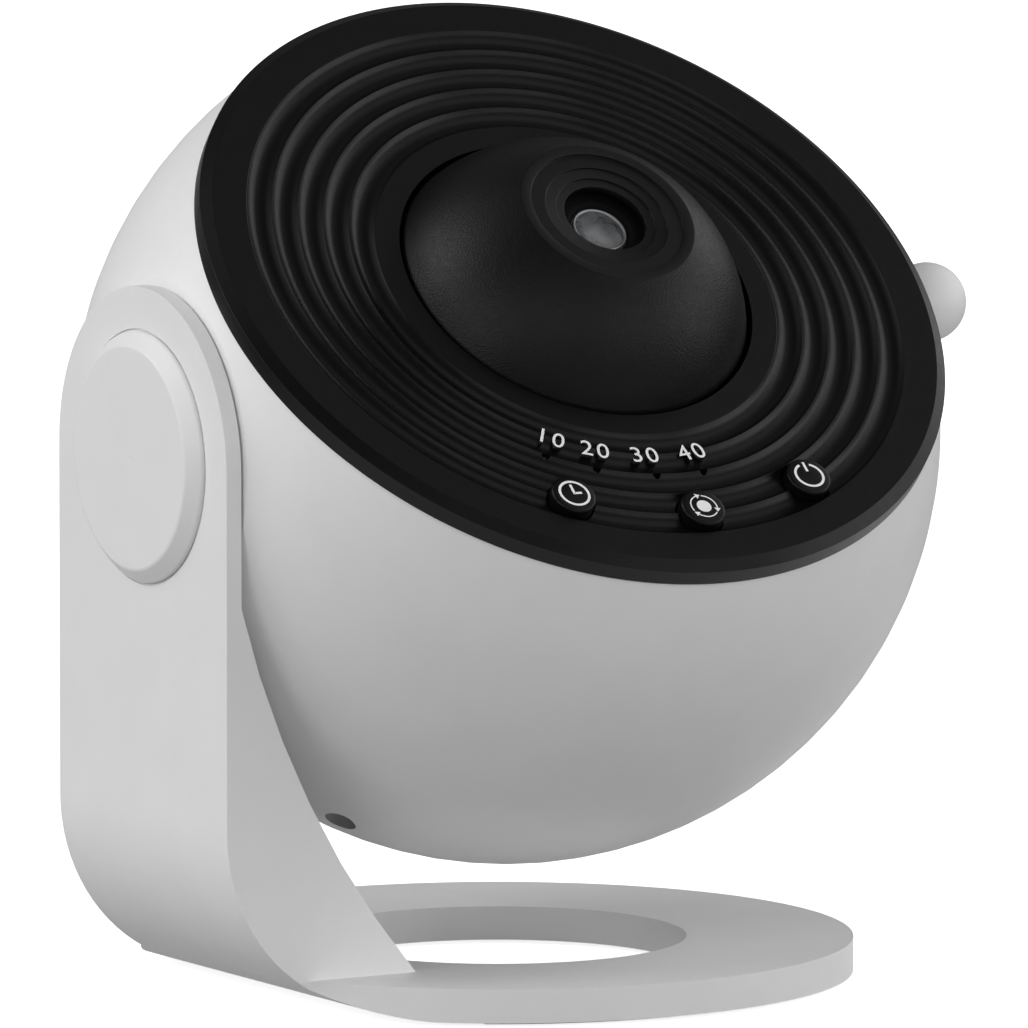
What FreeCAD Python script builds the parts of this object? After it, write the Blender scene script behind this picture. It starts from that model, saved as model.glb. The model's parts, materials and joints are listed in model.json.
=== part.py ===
"""Planetarium projector: a round head that tilts on a one-armed stand.

Millimetres, +Z up. The origin is on the table, on the axis of the base ring. The head's own
pieces are drawn about the ball's centre, with local Z along the projection axis and local X
along the pivot, and are then turned by the tilt and lifted to the pivot.
"""
import FreeCAD, Part
import math
import os
import Sketcher

Vector = FreeCAD.Vector
doc = FreeCAD.newDocument("planetarium_projector")

# Every driving size, in millimetres or degrees.
SIZES = {
    # head and stand
    "ball_radius": 65.0,
    "flat_depth": 5.6,
    "tilt": 40.0,
    "pivot_height": 82.0,
    "head_offset": 1.5,
    "gap": 0.3,
    "running_fit": 0.05,
    # base ring, arm and foot
    "ring_radius": 53.4,
    "ring_hole_radius": 28.4,
    "ring_thickness": 5.1,
    "foot_height": 0.6,
    "foot_recess": 0.9,
    "foot_inner_radius": 43.5,
    "foot_outer_radius": 50.5,
    "foot_back_reach": 27.0,
    "arm_width": 50.7,
    "arm_wall": 2.5,
    "arm_bend_radius": 28.0,
    "brace_drop": 19.9,
    "brace_foot": 32.1,
    "brace_arc_radius": 140.0,
    "head_clearance": 2.5,
    "edge_round": 0.7,
    # pivot
    "cap_radius": 18.8,
    "cap_chamfer": 2.1,
    "cap_chamfer_depth": 1.9,
    "cap_height": 2.3,
    "cap_recess": 0.4,
    "bolt_head_radius": 8.5,
    "bolt_head_height": 1.2,
    "bolt_radius": 4.0,
    "bolt_thread_radius": 3.0,
    "washer_radius": 12.0,
    "washer_thickness": 0.4,
    "bush_radius": 6.0,
    "pivot_boss_radius": 10.0,
    "pivot_boss_depth": 7.4,
    "spring_washer_radius": 7.5,
    "spring_washer_thickness": 0.8,
    "nut_flats": 10.0,
    "nut_height": 4.0,
    # rear shell
    "shell_wall": 2.5,
    "flat_pad": 3.9,
    "rim_height": 28.7,
    "screw_inset": 3.2,
    "screw_azimuth": 38.2,
    "tower_radius": 4.2,
    "tower_top": 16.0,
    "tower_rib": 1.8,
    "access_radius": 2.45,
    "screw_seat": 8.0,
    "screw_radius": 1.2,
    "screw_head_radius": 2.2,
    "screw_head_height": 1.8,
    "screw_grip": 7.5,
    # face plate
    "plate_overhang": 0.28,
    "plate_shoulder": 2.6,
    "plate_chamfer_width": 1.7,
    "plate_thickness": 3.7,
    "plate_skin": 2.9,
    "rim_flat": 5.25,
    "inner_flat": 3.9,
    "groove_depth": 0.95,
    "spigot_depth": 2.2,
    "spigot_wall": 2.0,
    "dome_hole_radius": 27.7,
    "collar_wall": 2.3,
    "collar_depth": 8.2,
    "ledge_width": 2.9,
    "ledge_thickness": 1.3,
    "screw_boss_radius": 3.0,
    # dome and lens
    "dome_bulge": 2.05,
    "dome_flat_radius": 13.65,
    "dome_gap": 0.65,
    "dome_top": 46.8,
    "dome_wall": 2.0,
    "dome_ceiling": 2.8,
    "dome_step_radius": 12.0,
    "dome_step_width": 2.1,
    "dome_step_depth": 0.4,
    "dome_bore_radius": 6.4,
    "barrel_radius": 7.8,
    "barrel_top": 43.6,
    "barrel_length": 16.6,
    "barrel_lip": 0.8,
    "barrel_socket_wall": 1.9,
    "barrel_socket_depth": 7.6,
    "lens_radius": 5.5,
    "lens_opening": 4.3,
    "lens_edge": 1.6,
    "lens_curve": 16.0,
    "lens_spacing": 8.2,
    "retainer_height": 3.0,
    # buttons, switches and lamps
    "button_azimuth": 25.0,
    "button_radius": 3.5,
    "button_proud": 1.3,
    "button_edge": 0.3,
    "button_flange": 1.0,
    "button_stem_radius": 1.3,
    "button_travel": 0.5,
    "lamp_pipe_radius": 0.6,
    "lamp_pipe_head": 1.1,
    "board_thickness": 1.6,
    "control_board_height": 23.4,
    "control_board_clearance": 1.0,
    "control_board_azimuth": 34.0,
    "post_radius": 1.8,
    "switch_side": 6.0,
    "switch_height": 2.4,
    "small_screw_radius": 0.9,
    "small_screw_grip": 3.6,
    "small_head_radius": 1.8,
    "small_head_height": 1.3,
    # focus dial
    "dial_radius": 25.2,
    "dial_thickness": 2.6,
    "dial_proud": 1.4,
    "dial_edge": 0.6,
    "dial_shaft_radius": 4.0,
    "dial_shaft_end": 34.0,
    "dial_boss_radius": 8.0,
    "clip_thickness": 0.8,
    "clip_groove": 0.6,
    "ball_handle_radius": 6.0,
    "ball_handle_offset": 21.65,
    "ball_handle_lift": 4.2,
    "handle_pin_radius": 1.6,
    "pinion_shaft_radius": 2.4,
    # gearing
    "gear_module": 0.8,
    "pinion_teeth": 12.0,
    "turntable_teeth": 60.0,
    "gear_face": 3.5,
    "pinion_face": 5.0,
    "backlash": 0.2,
    # focus carriage and light engine
    "carriage_plate_height": 11.0,
    "carriage_plate_thickness": 3.0,
    "carriage_plate_radius": 26.0,
    "carriage_bore": 12.6,
    "carriage_tube_wall": 2.9,
    "turntable_rim": 2.0,
    "hub_radius": 13.0,
    "light_bore": 11.2,
    "guide_circle": 36.0,
    "guide_radius": 1.5,
    "guide_top": 20.0,
    "guide_bottom": -7.0,
    "guide_head_radius": 3.2,
    "bushing_wall": 1.9,
    "bushing_length": 14.0,
    "film_frame_radius": 19.0,
    "film_radius": 14.0,
    "film_thickness": 0.3,
    "film_frame_height": 1.5,
    "film_frame_lap": 0.6,
    "condenser_edge": 1.6,
    "condenser_curve": 22.0,
    "condenser_seat": 10.8,
    "condenser_ring_wall": 2.0,
    "led_side": 3.6,
    "led_height": 0.9,
    "led_bead_radius": 0.9,
    "led_board_radius": 15.5,
    "heat_sink_height": 18.0,
    "heat_sink_base": 4.0,
    "fin_thickness": 1.2,
    "fin_pitch": 3.2,
    "motor_radius": 6.0,
    "motor_length": 18.0,
    "motor_shaft_radius": 1.0,
    "motor_collar_radius": 2.0,
    # supply
    "driver_board_length": 40.0,
    "driver_board_width": 30.0,
    "board_screw_inset": 2.8,
    "socket_offset": 10.0,
    "socket_width": 9.0,
    "socket_height": 3.3,
    "socket_wall": 0.35,
    "socket_length": 9.4,
    "socket_floor": 1.4,
    "socket_tongue_width": 6.7,
    "plug_recess_width": 13.0,
    "plug_recess_height": 7.0,
    "plug_recess_depth": 1.3,
    "plug_recess_wall": 2.2,
}

# Indicator lamps, in degrees from the lowest point of the face, towards +X.
LAMP_AZIMUTHS = {
    "lamp_a_azimuth": -30.9,
    "lamp_b_azimuth": -19.4,
    "lamp_c_azimuth": -5.6,
    "lamp_d_azimuth": 6.0,
}
GROOVES = 5
BUTTON_CREST = 1
LAMP_CREST = 3
HEX_SIDES = 6
EYE_STEPS = 2

# How far a cutting shape runs past the surface that it cuts.
OVERCUT = 1

# Tooth forms, in modules and degrees, and the teeth on each side of the rack's middle one.
ADDENDUM = 0.62
DEDENDUM = 0.95
PRESSURE_ANGLE = 20.0
RACK_BACK = 2
RACK_REACH = 3

# The carriage's guides, in degrees from the face's lowest point: one above the dome, two below.
GUIDE_TURNS = (180, -60, 60)


class Size:
    """A number together with the sheet expression that gives it."""

    def __init__(self, value, text):
        self.value = float(value)
        self.text = text

    def _with(self, other, sign, value):
        return Size(value, "(" + self.text + " " + sign + " " + size_of(other).text + ")")

    def __add__(self, other):
        return self._with(other, "+", self.value + size_of(other).value)

    def __sub__(self, other):
        return self._with(other, "-", self.value - size_of(other).value)

    def __mul__(self, other):
        return self._with(other, "*", self.value * size_of(other).value)

    def __truediv__(self, other):
        return self._with(other, "/", self.value / size_of(other).value)

    def __radd__(self, other):
        return size_of(other) + self

    def __rsub__(self, other):
        return size_of(other) - self

    def __rmul__(self, other):
        return size_of(other) * self

    def __neg__(self):
        return size_of(0) - self


def size_of(number):
    """A plain number as a Size; a Size as it is."""
    if isinstance(number, Size):
        return number
    return Size(number, repr(float(number)))


def leg(hypotenuse, side):
    """The other short side of a right triangle."""
    long_side = size_of(hypotenuse)
    short_side = size_of(side)
    text = "sqrt(" + long_side.text + " ^ 2 - " + short_side.text + " ^ 2)"
    return Size(math.sqrt(long_side.value ** 2 - short_side.value ** 2), text)


def cosine(angle):
    return Size(math.cos(math.radians(angle.value)), "cos(" + angle.text + ")")


def sine(angle):
    return Size(math.sin(math.radians(angle.value)), "sin(" + angle.text + ")")


class Sheet:
    """The document's spreadsheet; each alias reads as a Size."""

    def __init__(self, sizes):
        self.cells = doc.addObject("Spreadsheet::Sheet", "Sizes")
        self.sizes = dict(sizes)
        for row, (alias, number) in enumerate(self.sizes.items(), start=1):
            self.cells.set("A" + str(row), alias)
            self.cells.set("B" + str(row), str(number))
            self.cells.setAlias("B" + str(row), alias)

    def __getattr__(self, alias):
        return Size(self.sizes[alias], "Sizes." + alias)


S = Sheet({**SIZES, **LAMP_AZIMUTHS})
doc.recompute()


# ---------------------------------------------------------------- drawing and features


def bind(target, prop, size):
    """Set a property from a Size, through the sheet."""
    target.setExpression(prop, size_of(size).text)


def new_body(name):
    return doc.addObject("PartDesign::Body", name)


def new_sketch(body, role, name, height=0, origin=(0, 0)):
    """A sketch on one of the body's own planes, lifted by height along its normal."""
    sketch = body.newObject("Sketcher::SketchObject", name)
    plane = [item for item in body.Origin.OriginFeatures if item.Role == role][0]
    sketch.AttachmentSupport = (plane, [""])
    sketch.MapMode = "FlatFace"
    shifts = (("x", origin[0]), ("y", origin[1]), ("z", height))
    for axis, shift in shifts:
        bind(sketch, "AttachmentOffset.Base." + axis, shift)
    return sketch


def fix_point(sketch, edge, end, x, y):
    """Hold one end of an edge at (x, y)."""
    for kind, axis, number in (("DistanceX", -2, x), ("DistanceY", -1, y)):
        if number.text == "0.0":
            sketch.addConstraint(Sketcher.Constraint("PointOnObject", edge, end, axis))
            continue
        index = sketch.addConstraint(Sketcher.Constraint(kind, edge, end, number.value))
        bind(sketch, "Constraints[" + str(index) + "]", number)


def outline(sketch, points):
    """Draw a closed outline of (x, y) or (x, y, radius) points.

    A radius makes the edge that leaves the point an arc of less than half a turn. It is
    positive when the arc's centre lies left of the way to the next point.
    """
    corners = [tuple(size_of(number) for number in point) for point in points]
    ends = []
    for corner, following in zip(corners, corners[1:] + corners[:1]):
        start = Vector(corner[0].value, corner[1].value, 0)
        stop = Vector(following[0].value, following[1].value, 0)
        if len(corner) == 2:
            edge = sketch.addGeometry(Part.LineSegment(start, stop))
            ends.append((edge, 1, 2))
            continue
        radius = abs(corner[2].value)
        side = math.copysign(1.0, corner[2].value)
        chord = stop - start
        rise = math.sqrt(max(radius ** 2 - (chord.Length / 2) ** 2, 0.0))
        left = Vector(-chord.y, chord.x, 0).normalize()
        centre = (start + stop) * 0.5 + left * (side * rise)
        first, last = (start, stop) if side > 0 else (stop, start)
        angles = [math.atan2(end.y - centre.y, end.x - centre.x) for end in (first, last)]
        circle = Part.Circle(centre, Vector(0, 0, 1), radius)
        edge = sketch.addGeometry(Part.ArcOfCircle(circle, angles[0], angles[1]))
        ends.append((edge, 1, 2) if side > 0 else (edge, 2, 1))
    for here, there in zip(ends, ends[1:] + ends[:1]):
        sketch.addConstraint(Sketcher.Constraint("Coincident", here[0], here[2], there[0], there[1]))
    for corner, (edge, begin, finish) in zip(corners, ends):
        fix_point(sketch, edge, begin, corner[0], corner[1])
        if len(corner) == 3:
            radius = corner[2] if corner[2].value > 0 else -corner[2]
            index = sketch.addConstraint(Sketcher.Constraint("Radius", edge, radius.value))
            bind(sketch, "Constraints[" + str(index) + "]", radius)


def circle(sketch, radius, x=0, y=0):
    """Draw a full circle."""
    radius = size_of(radius)
    x = size_of(x)
    y = size_of(y)
    shape = Part.Circle(Vector(x.value, y.value, 0), Vector(0, 0, 1), radius.value)
    edge = sketch.addGeometry(shape)
    fix_point(sketch, edge, 3, x, y)
    index = sketch.addConstraint(Sketcher.Constraint("Radius", edge, radius.value))
    bind(sketch, "Constraints[" + str(index) + "]", radius)


def rectangle(sketch, x_low, y_low, x_high, y_high):
    outline(sketch, [(x_low, y_low), (x_high, y_low), (x_high, y_high), (x_low, y_high)])


def revolve(body, sketch, axis, cut=False):
    """Turn a sketch a full turn about one of its axes, as a solid or as a cut."""
    kind = "PartDesign::Groove" if cut else "PartDesign::Revolution"
    feature = body.newObject(kind, sketch.Name + "_turned")
    feature.Profile = sketch
    feature.ReferenceAxis = (sketch, [axis])
    feature.Angle = 360
    return feature


def pad(body, sketch, length, down=False):
    feature = body.newObject("PartDesign::Pad", sketch.Name + "_pad")
    feature.Profile = sketch
    feature.Reversed = down
    bind(feature, "Length", length)
    return feature


def pocket(body, sketch, depth=None, up=False, both_ways=False):
    """Cut a sketch into the body: below it, or above it with up, or right through."""
    feature = body.newObject("PartDesign::Pocket", sketch.Name + "_cut")
    feature.Profile = sketch
    feature.Reversed = up
    if both_ways:
        feature.SideType = "Symmetric"
    if depth is None:
        feature.Type = "ThroughAll"
    else:
        bind(feature, "Length", depth)
    return feature


def turned_body(name, points, axis="V_Axis"):
    """A body turned from one outline in the XZ plane, about Z (V_Axis) or X (H_Axis)."""
    body = new_body(name)
    sketch = new_sketch(body, "XZ_Plane", name + "_profile")
    outline(sketch, points)
    revolve(body, sketch, axis)
    return body


def tube_points(inner, outer, low, high):
    """The outline of a ring or, with inner 0, of a plain pin, in (radius, height)."""
    return [(inner, low), (outer, low), (outer, high), (inner, high)]


def side_points(points):
    """Turn (radius, distance) points round, for a body that is turned about X."""
    return [(point[1], point[0]) + tuple(-radius for radius in point[2:]) for point in points]


def cylinder(name, radius, low, high, x=0, y=0):
    """A Part cylinder along Z."""
    shape = doc.addObject("Part::Cylinder", name)
    bind(shape, "Radius", radius)
    bind(shape, "Height", high - low)
    for axis, number in (("x", x), ("y", y), ("z", low)):
        bind(shape, "Placement.Base." + axis, number)
    return shape


def block(name, low, high):
    """A Part box between two corners."""
    shape = doc.addObject("Part::Box", name)
    for prop, axis, start, stop in zip(("Length", "Width", "Height"), "xyz", low, high):
        bind(shape, prop, size_of(stop) - start)
        bind(shape, "Placement.Base." + axis, start)
    return shape


def joined(name, shapes):
    result = doc.addObject("Part::MultiFuse", name)
    result.Shapes = shapes
    return result


def less(name, base, tool):
    result = doc.addObject("Part::Cut", name)
    result.Base = base
    result.Tool = tool
    return result


def grouped(name, shapes):
    """Separate solids that share a node."""
    result = doc.addObject("Part::Compound", name)
    result.Links = shapes
    return result


def radial(radius, azimuth):
    """The (x, y) of a point on the face, by radius and degrees from its lowest point."""
    return radius * sine(azimuth), -(radius * cosine(azimuth))


def shift(shape, x, y):
    """Move a shape of a group to its own place in the group."""
    bind(shape, "Placement.Base.x", x)
    bind(shape, "Placement.Base.y", y)
    return shape


pieces = {}


def keep(shape, label):
    shape.Label = label
    pieces[label] = shape
    return shape


def in_stand(shape, label):
    """A piece drawn in the part's own frame."""
    return keep(shape, label)


def at_pivot(shape, label):
    """A piece drawn about the pivot, untilted."""
    shape.Placement = FreeCAD.Placement(Vector(0, 0, 1), FreeCAD.Rotation())
    bind(shape, "Placement.Base.x", S.head_offset)
    bind(shape, "Placement.Base.z", S.pivot_height)
    return keep(shape, label)


def in_head(shape, label, x=0, y=0, z=0):
    """A piece drawn in the head's frame, moved by (x, y, z) in that frame."""
    x, y, z = (size_of(number) for number in (x, y, z))
    turn = FreeCAD.Rotation(Vector(1, 0, 0), S.tilt.value)
    shape.Placement = FreeCAD.Placement(Vector(0, 0, 1), turn)
    bind(shape, "Placement.Rotation.Angle", S.tilt)
    bind(shape, "Placement.Base.x", S.head_offset + x)
    bind(shape, "Placement.Base.y", y * cosine(S.tilt) - z * sine(S.tilt))
    bind(shape, "Placement.Base.z", S.pivot_height + y * sine(S.tilt) + z * cosine(S.tilt))
    return keep(shape, label)


# ---------------------------------------------------------------- places that pieces share

flat_reach = S.ball_radius - S.flat_depth
arm_inner_reach = flat_reach + S.washer_thickness
arm_reach = arm_inner_reach + S.arm_wall
arm_face = S.head_offset - arm_reach
ring_top = S.foot_height + S.ring_thickness
cavity_radius = S.ball_radius - S.shell_wall
pad_reach = flat_reach - S.flat_pad
boss_reach = flat_reach - S.pivot_boss_depth
recess_floor = arm_reach - S.cap_recess
washer_face = boss_reach - S.spring_washer_thickness
nut_face = washer_face - S.nut_height
face_height = S.rim_height + S.plate_thickness
plate_radius = leg(S.ball_radius, S.rim_height) + S.plate_overhang
groove_radius = plate_radius - S.plate_chamfer_width - S.rim_flat
groove_pitch = (groove_radius - S.dome_hole_radius - S.inner_flat) / GROOVES
spigot_radius = leg(cavity_radius, S.rim_height) - S.gap
collar_radius = S.dome_hole_radius + S.collar_wall
screw_circle = spigot_radius - S.screw_inset
button_circle = groove_radius - BUTTON_CREST * groove_pitch
lamp_circle = groove_radius - LAMP_CREST * groove_pitch
skin_height = face_height - S.plate_skin
ledge_height = face_height - S.collar_depth + S.ledge_thickness
switch_top = S.control_board_height + S.board_thickness + S.switch_height
board_top = S.control_board_height + S.board_thickness
flange_top = skin_height - S.gap
flange_low = flange_top - S.button_flange
pitch_radius = S.gear_module * S.pinion_teeth / 2
turntable_pitch = S.gear_module * S.turntable_teeth / 2
motor_distance = pitch_radius + turntable_pitch
rack_tip = pitch_radius - ADDENDUM * S.gear_module
rack_root = pitch_radius + DEDENDUM * S.gear_module
rack_back = rack_root + RACK_BACK * S.gear_module
plate_top = S.carriage_plate_height + S.carriage_plate_thickness
gear_low = plate_top + S.gap
gear_high = gear_low + S.gear_face
recess_depth = leg(S.ball_radius, S.socket_offset) - S.plug_recess_depth
board_depth = recess_depth - S.gap - S.socket_length
dial_back = flat_reach + S.dial_proud - S.dial_thickness
dial_front = flat_reach + S.dial_proud
TOWERS = {
    "front_left": -S.screw_azimuth,
    "front_right": S.screw_azimuth,
    "rear_left": S.screw_azimuth - 180,
    "rear_right": 180 - S.screw_azimuth,
}


# ---------------------------------------------------------------- stand


def build_stand_bracket():
    """One moulding: a ring to stand on, and an arm that is dished to clear the ball."""
    body = new_body("stand_bracket")
    half = S.arm_width / 2
    arm = new_sketch(body, "YZ_Plane", "arm_outline", height=arm_face)
    outline(arm, [
        (-half, S.foot_height),
        (half, S.foot_height),
        (half, S.pivot_height, half),
        (0, S.pivot_height + half, half),
        (-half, S.pivot_height),
    ])
    pad(body, arm, S.brace_foot)
    over = S.pivot_height + S.arm_width
    inside = new_sketch(body, "XZ_Plane", "brace_edge")
    wall = arm_face + S.arm_wall
    toe = arm_face + S.brace_foot
    outline(inside, [
        (wall, S.pivot_height - S.brace_drop, S.brace_arc_radius),
        (toe, ring_top),
        (toe + S.arm_wall, ring_top),
        (toe + S.arm_wall, over),
        (wall, over),
    ])
    pocket(body, inside, both_ways=True)
    cut_outer_bend(body, "arm_bend")
    dish = new_sketch(body, "XZ_Plane", "ball_dish", origin=(S.head_offset, S.pivot_height))
    dish_radius = S.ball_radius + S.head_clearance
    outline(dish, [
        (-arm_inner_reach, 0),
        (-arm_inner_reach, -leg(dish_radius, arm_inner_reach), dish_radius),
        (0, -dish_radius),
        (0, 0),
    ])
    revolve(body, dish, "H_Axis", cut=True)
    round_arm(body)
    ring = new_sketch(body, "XZ_Plane", "base_ring")
    outline(ring, [
        (S.ring_hole_radius, S.foot_height),
        (S.ring_radius, S.foot_height),
        (S.ring_radius, ring_top - S.edge_round, S.edge_round),
        (S.ring_radius - S.edge_round, ring_top),
        (S.ring_hole_radius, ring_top),
    ])
    revolve(body, ring, "V_Axis")
    cut_outer_bend(body, "ring_bend")
    recess = new_sketch(body, "YZ_Plane", "cap_recess", height=arm_face)
    circle(recess, S.cap_radius + S.gap, 0, S.pivot_height)
    pocket(body, recess, S.cap_recess, up=True)
    hole = new_sketch(body, "YZ_Plane", "pivot_hole", height=arm_face)
    circle(hole, S.bolt_radius + S.running_fit, 0, S.pivot_height)
    pocket(body, hole, S.arm_wall * 2, up=True)
    foot = new_sketch(body, "XY_Plane", "foot_groove", height=S.foot_height)
    foot_outline(foot, 0)
    pocket(body, foot, S.foot_recess, up=True)
    return in_stand(body, "stand_bracket")


def cut_outer_bend(body, name):
    """Cut off what lies outside the bend where the arm rises from the ring."""
    bend = new_sketch(body, "XZ_Plane", name)
    corner = arm_face + S.arm_bend_radius
    below = S.foot_height - S.arm_wall
    outline(bend, [
        (corner, S.foot_height, -S.arm_bend_radius),
        (arm_face, S.foot_height + S.arm_bend_radius),
        (arm_face - S.arm_wall, S.foot_height + S.arm_bend_radius),
        (arm_face - S.arm_wall, below),
        (corner, below),
    ])
    pocket(body, bend, both_ways=True)


def round_arm(body):
    """Round the long edges of the arm and the edges of its round end."""
    half = S.arm_width.value / 2
    near = 0.01

    def on_arm_side(box):
        flat = box.YLength < near and abs(abs(box.YMin) - half) < near
        return flat and box.ZMax > ring_top.value + near and box.ZLength > near

    def on_arm_end(box):
        reaches = abs(max(abs(box.YMin), abs(box.YMax)) - half) < near
        return box.ZMin > S.pivot_height.value - near and reaches and box.XLength < near

    doc.recompute()
    base = body.Tip
    boxes = [edge.BoundBox for edge in base.Shape.Edges]
    edges = ["Edge" + str(i) for i, box in enumerate(boxes, start=1) if on_arm_side(box) or on_arm_end(box)]
    fillet = body.newObject("PartDesign::Fillet", "arm_rounds")
    fillet.Base = (base, edges)
    bind(fillet, "Radius", S.edge_round)


def foot_outline(sketch, slack):
    """A ring of rubber, open at the back where the arm bends up."""
    outer = S.foot_outer_radius - slack
    inner = S.foot_inner_radius + slack
    back = slack - S.foot_back_reach
    outline(sketch, [
        (back, -leg(outer, back), outer),
        (outer, 0, outer),
        (back, leg(outer, back)),
        (back, leg(inner, back), -inner),
        (inner, 0, -inner),
        (back, -leg(inner, back)),
    ])


def build_foot_pad():
    body = new_body("foot_pad")
    sketch = new_sketch(body, "XY_Plane", "foot_outline")
    foot_outline(sketch, S.running_fit)
    pad(body, sketch, S.foot_height + S.foot_recess)
    return in_stand(body, "foot_pad")


def build_pivot_cap():
    """A hollow button over the bolt's head, seated in a shallow recess of the arm."""
    face = arm_reach + S.cap_height
    hollow = recess_floor + S.bolt_head_height + S.gap
    side = face - S.cap_chamfer_depth
    points = [
        (0, -face),
        (S.cap_radius - S.cap_chamfer, -face),
        (S.cap_radius, -side),
        (S.cap_radius, -recess_floor),
        (S.bolt_head_radius + S.gap, -recess_floor),
        (S.bolt_head_radius + S.gap, -hollow),
        (0, -hollow),
    ]
    return at_pivot(turned_body("pivot_cap", side_points(points), "H_Axis"), "pivot_cap")


def build_pivot_bolt():
    end = nut_face - S.bolt_head_height
    head = recess_floor + S.bolt_head_height
    points = [
        (0, -head),
        (S.bolt_head_radius, -head),
        (S.bolt_head_radius, -recess_floor),
        (S.bolt_radius, -recess_floor),
        (S.bolt_radius, -washer_face),
        (S.bolt_thread_radius, -washer_face),
        (S.bolt_thread_radius, -end),
        (0, -end),
    ]
    return at_pivot(turned_body("pivot_bolt", side_points(points), "H_Axis"), "pivot_bolt")


def build_side_ring(label, inner, outer, near, far):
    """A washer or bush on the pivot's arm side, between two reaches."""
    points = side_points(tube_points(inner, outer, -far, -near))
    return turned_body(label, points, "H_Axis")


def build_pivot_nut():
    body = new_body("pivot_nut")
    sketch = new_sketch(body, "YZ_Plane", "nut_outline", height=-washer_face)
    corner = S.nut_flats / (2 * cosine(size_of(180 / HEX_SIDES)))
    corners = []
    for side in range(HEX_SIDES):
        turn = size_of(side * 360 / HEX_SIDES)
        corners.append((corner * cosine(turn), corner * sine(turn)))
    outline(sketch, corners)
    circle(sketch, S.bolt_thread_radius + S.running_fit)
    pad(body, sketch, S.nut_height)
    return at_pivot(body, "pivot_nut")


# ---------------------------------------------------------------- head shells


def build_rear_shell():
    """The ball: flats at both ends of the pivot, pads behind them, towers for the screws."""
    ball = new_body("ball_wall")
    skin = new_sketch(ball, "XZ_Plane", "ball_skin")
    radius = S.ball_radius
    outline(skin, [
        (-flat_reach, 0),
        (flat_reach, 0),
        (flat_reach, leg(radius, flat_reach), radius),
        (-flat_reach, leg(radius, flat_reach)),
    ])
    revolve(ball, skin, "H_Axis")
    hollow = new_sketch(ball, "XZ_Plane", "ball_hollow")
    outline(hollow, [
        (-pad_reach, 0),
        (pad_reach, 0),
        (pad_reach, leg(cavity_radius, pad_reach), cavity_radius),
        (-pad_reach, leg(cavity_radius, pad_reach)),
    ])
    revolve(ball, hollow, "H_Axis", cut=True)
    mouth = new_sketch(ball, "XY_Plane", "mouth", height=S.rim_height)
    circle(mouth, radius)
    pocket(ball, mouth, radius, up=True)
    floor = -radius
    solids = []
    bores = []
    for name, azimuth in TOWERS.items():
        x, y = radial(screw_circle, azimuth)
        solids.append(cylinder(name + "_tower", S.tower_radius, floor, S.tower_top, x, y))
        solids.append(tower_rib(name + "_rib", floor, azimuth))
        bores.append(cylinder(name + "_access", S.access_radius, floor, S.screw_seat, x, y))
        hole = S.screw_radius + S.gap
        bores.append(cylinder(name + "_hole", hole, S.screw_seat, S.tower_top + OVERCUT, x, y))
    solids.append(socket_boss(floor))
    post_high = -board_depth
    for index, (x, y) in enumerate(driver_board_corners()):
        name = "board_post_" + str(index)
        solids.append(cylinder(name, S.post_radius, floor, post_high, x, y))
        depth = post_high - S.small_screw_grip
        bores.append(cylinder(name + "_bore", S.small_screw_radius, depth, post_high, x, y))
    filler = doc.addObject("Part::Common", "inner_posts")
    filler.Base = joined("posts", solids)
    filler.Tool = doc.addObject("Part::Sphere", "post_limit")
    bind(filler.Tool, "Radius", cavity_radius + S.shell_wall / 2)
    bosses = side_bosses()
    whole = joined("shell_whole", [ball, filler] + bosses)
    bores.append(side_bore("pivot_bore", S.bush_radius, -1))
    bores.append(side_bore("dial_bore", S.dial_shaft_radius + S.running_fit, 1))
    bores.append(dial_recess())
    bores.extend(socket_cuts())
    return in_head(less("rear_shell", whole, joined("shell_bores", bores)), "rear_shell")


def tower_rib(name, floor, azimuth):
    """A rib from a tower's axis out to the wall."""
    rib = doc.addObject("Part::Box", name)
    bind(rib, "Length", S.tower_rib)
    bind(rib, "Width", S.ball_radius - screw_circle)
    bind(rib, "Height", S.tower_top - floor)
    turn = FreeCAD.Rotation(Vector(0, 0, 1), 180.0 + azimuth.value)
    rib.Placement = FreeCAD.Placement(Vector(), turn)
    bind(rib, "Placement.Rotation.Angle", 180 + azimuth)
    x, y = radial(screw_circle, azimuth)
    bind(rib, "Placement.Base.x", x + cosine(azimuth) * S.tower_rib / 2)
    bind(rib, "Placement.Base.y", y + sine(azimuth) * S.tower_rib / 2)
    bind(rib, "Placement.Base.z", floor)
    return rib


def side_cylinder(name, radius, near, far, side):
    """A Part cylinder along the pivot, between two reaches, on one side of the head."""
    shape = doc.addObject("Part::Cylinder", name)
    bind(shape, "Radius", radius)
    bind(shape, "Height", far - near)
    turn = FreeCAD.Rotation(Vector(0, 1, 0), 90.0 * side)
    shape.Placement = FreeCAD.Placement(Vector(1, 0, 0), turn)
    bind(shape, "Placement.Base.x", side * near)
    return shape


def side_bosses():
    """Bosses behind the flats: one for the pivot bush, one for the dial's shaft."""
    pivot = side_cylinder("pivot_boss", S.pivot_boss_radius, boss_reach, pad_reach + OVERCUT, -1)
    dial = side_cylinder("dial_boss", S.dial_boss_radius, boss_reach, pad_reach + OVERCUT, 1)
    return [pivot, dial]


def side_bore(name, radius, side):
    return side_cylinder(name, radius, boss_reach - OVERCUT, flat_reach + OVERCUT, side)


def dial_recess():
    """The round seat that the focus dial turns in."""
    floor = dial_back - S.gap
    return side_cylinder("dial_recess", S.dial_radius + S.gap, floor, flat_reach + OVERCUT, 1)


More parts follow.
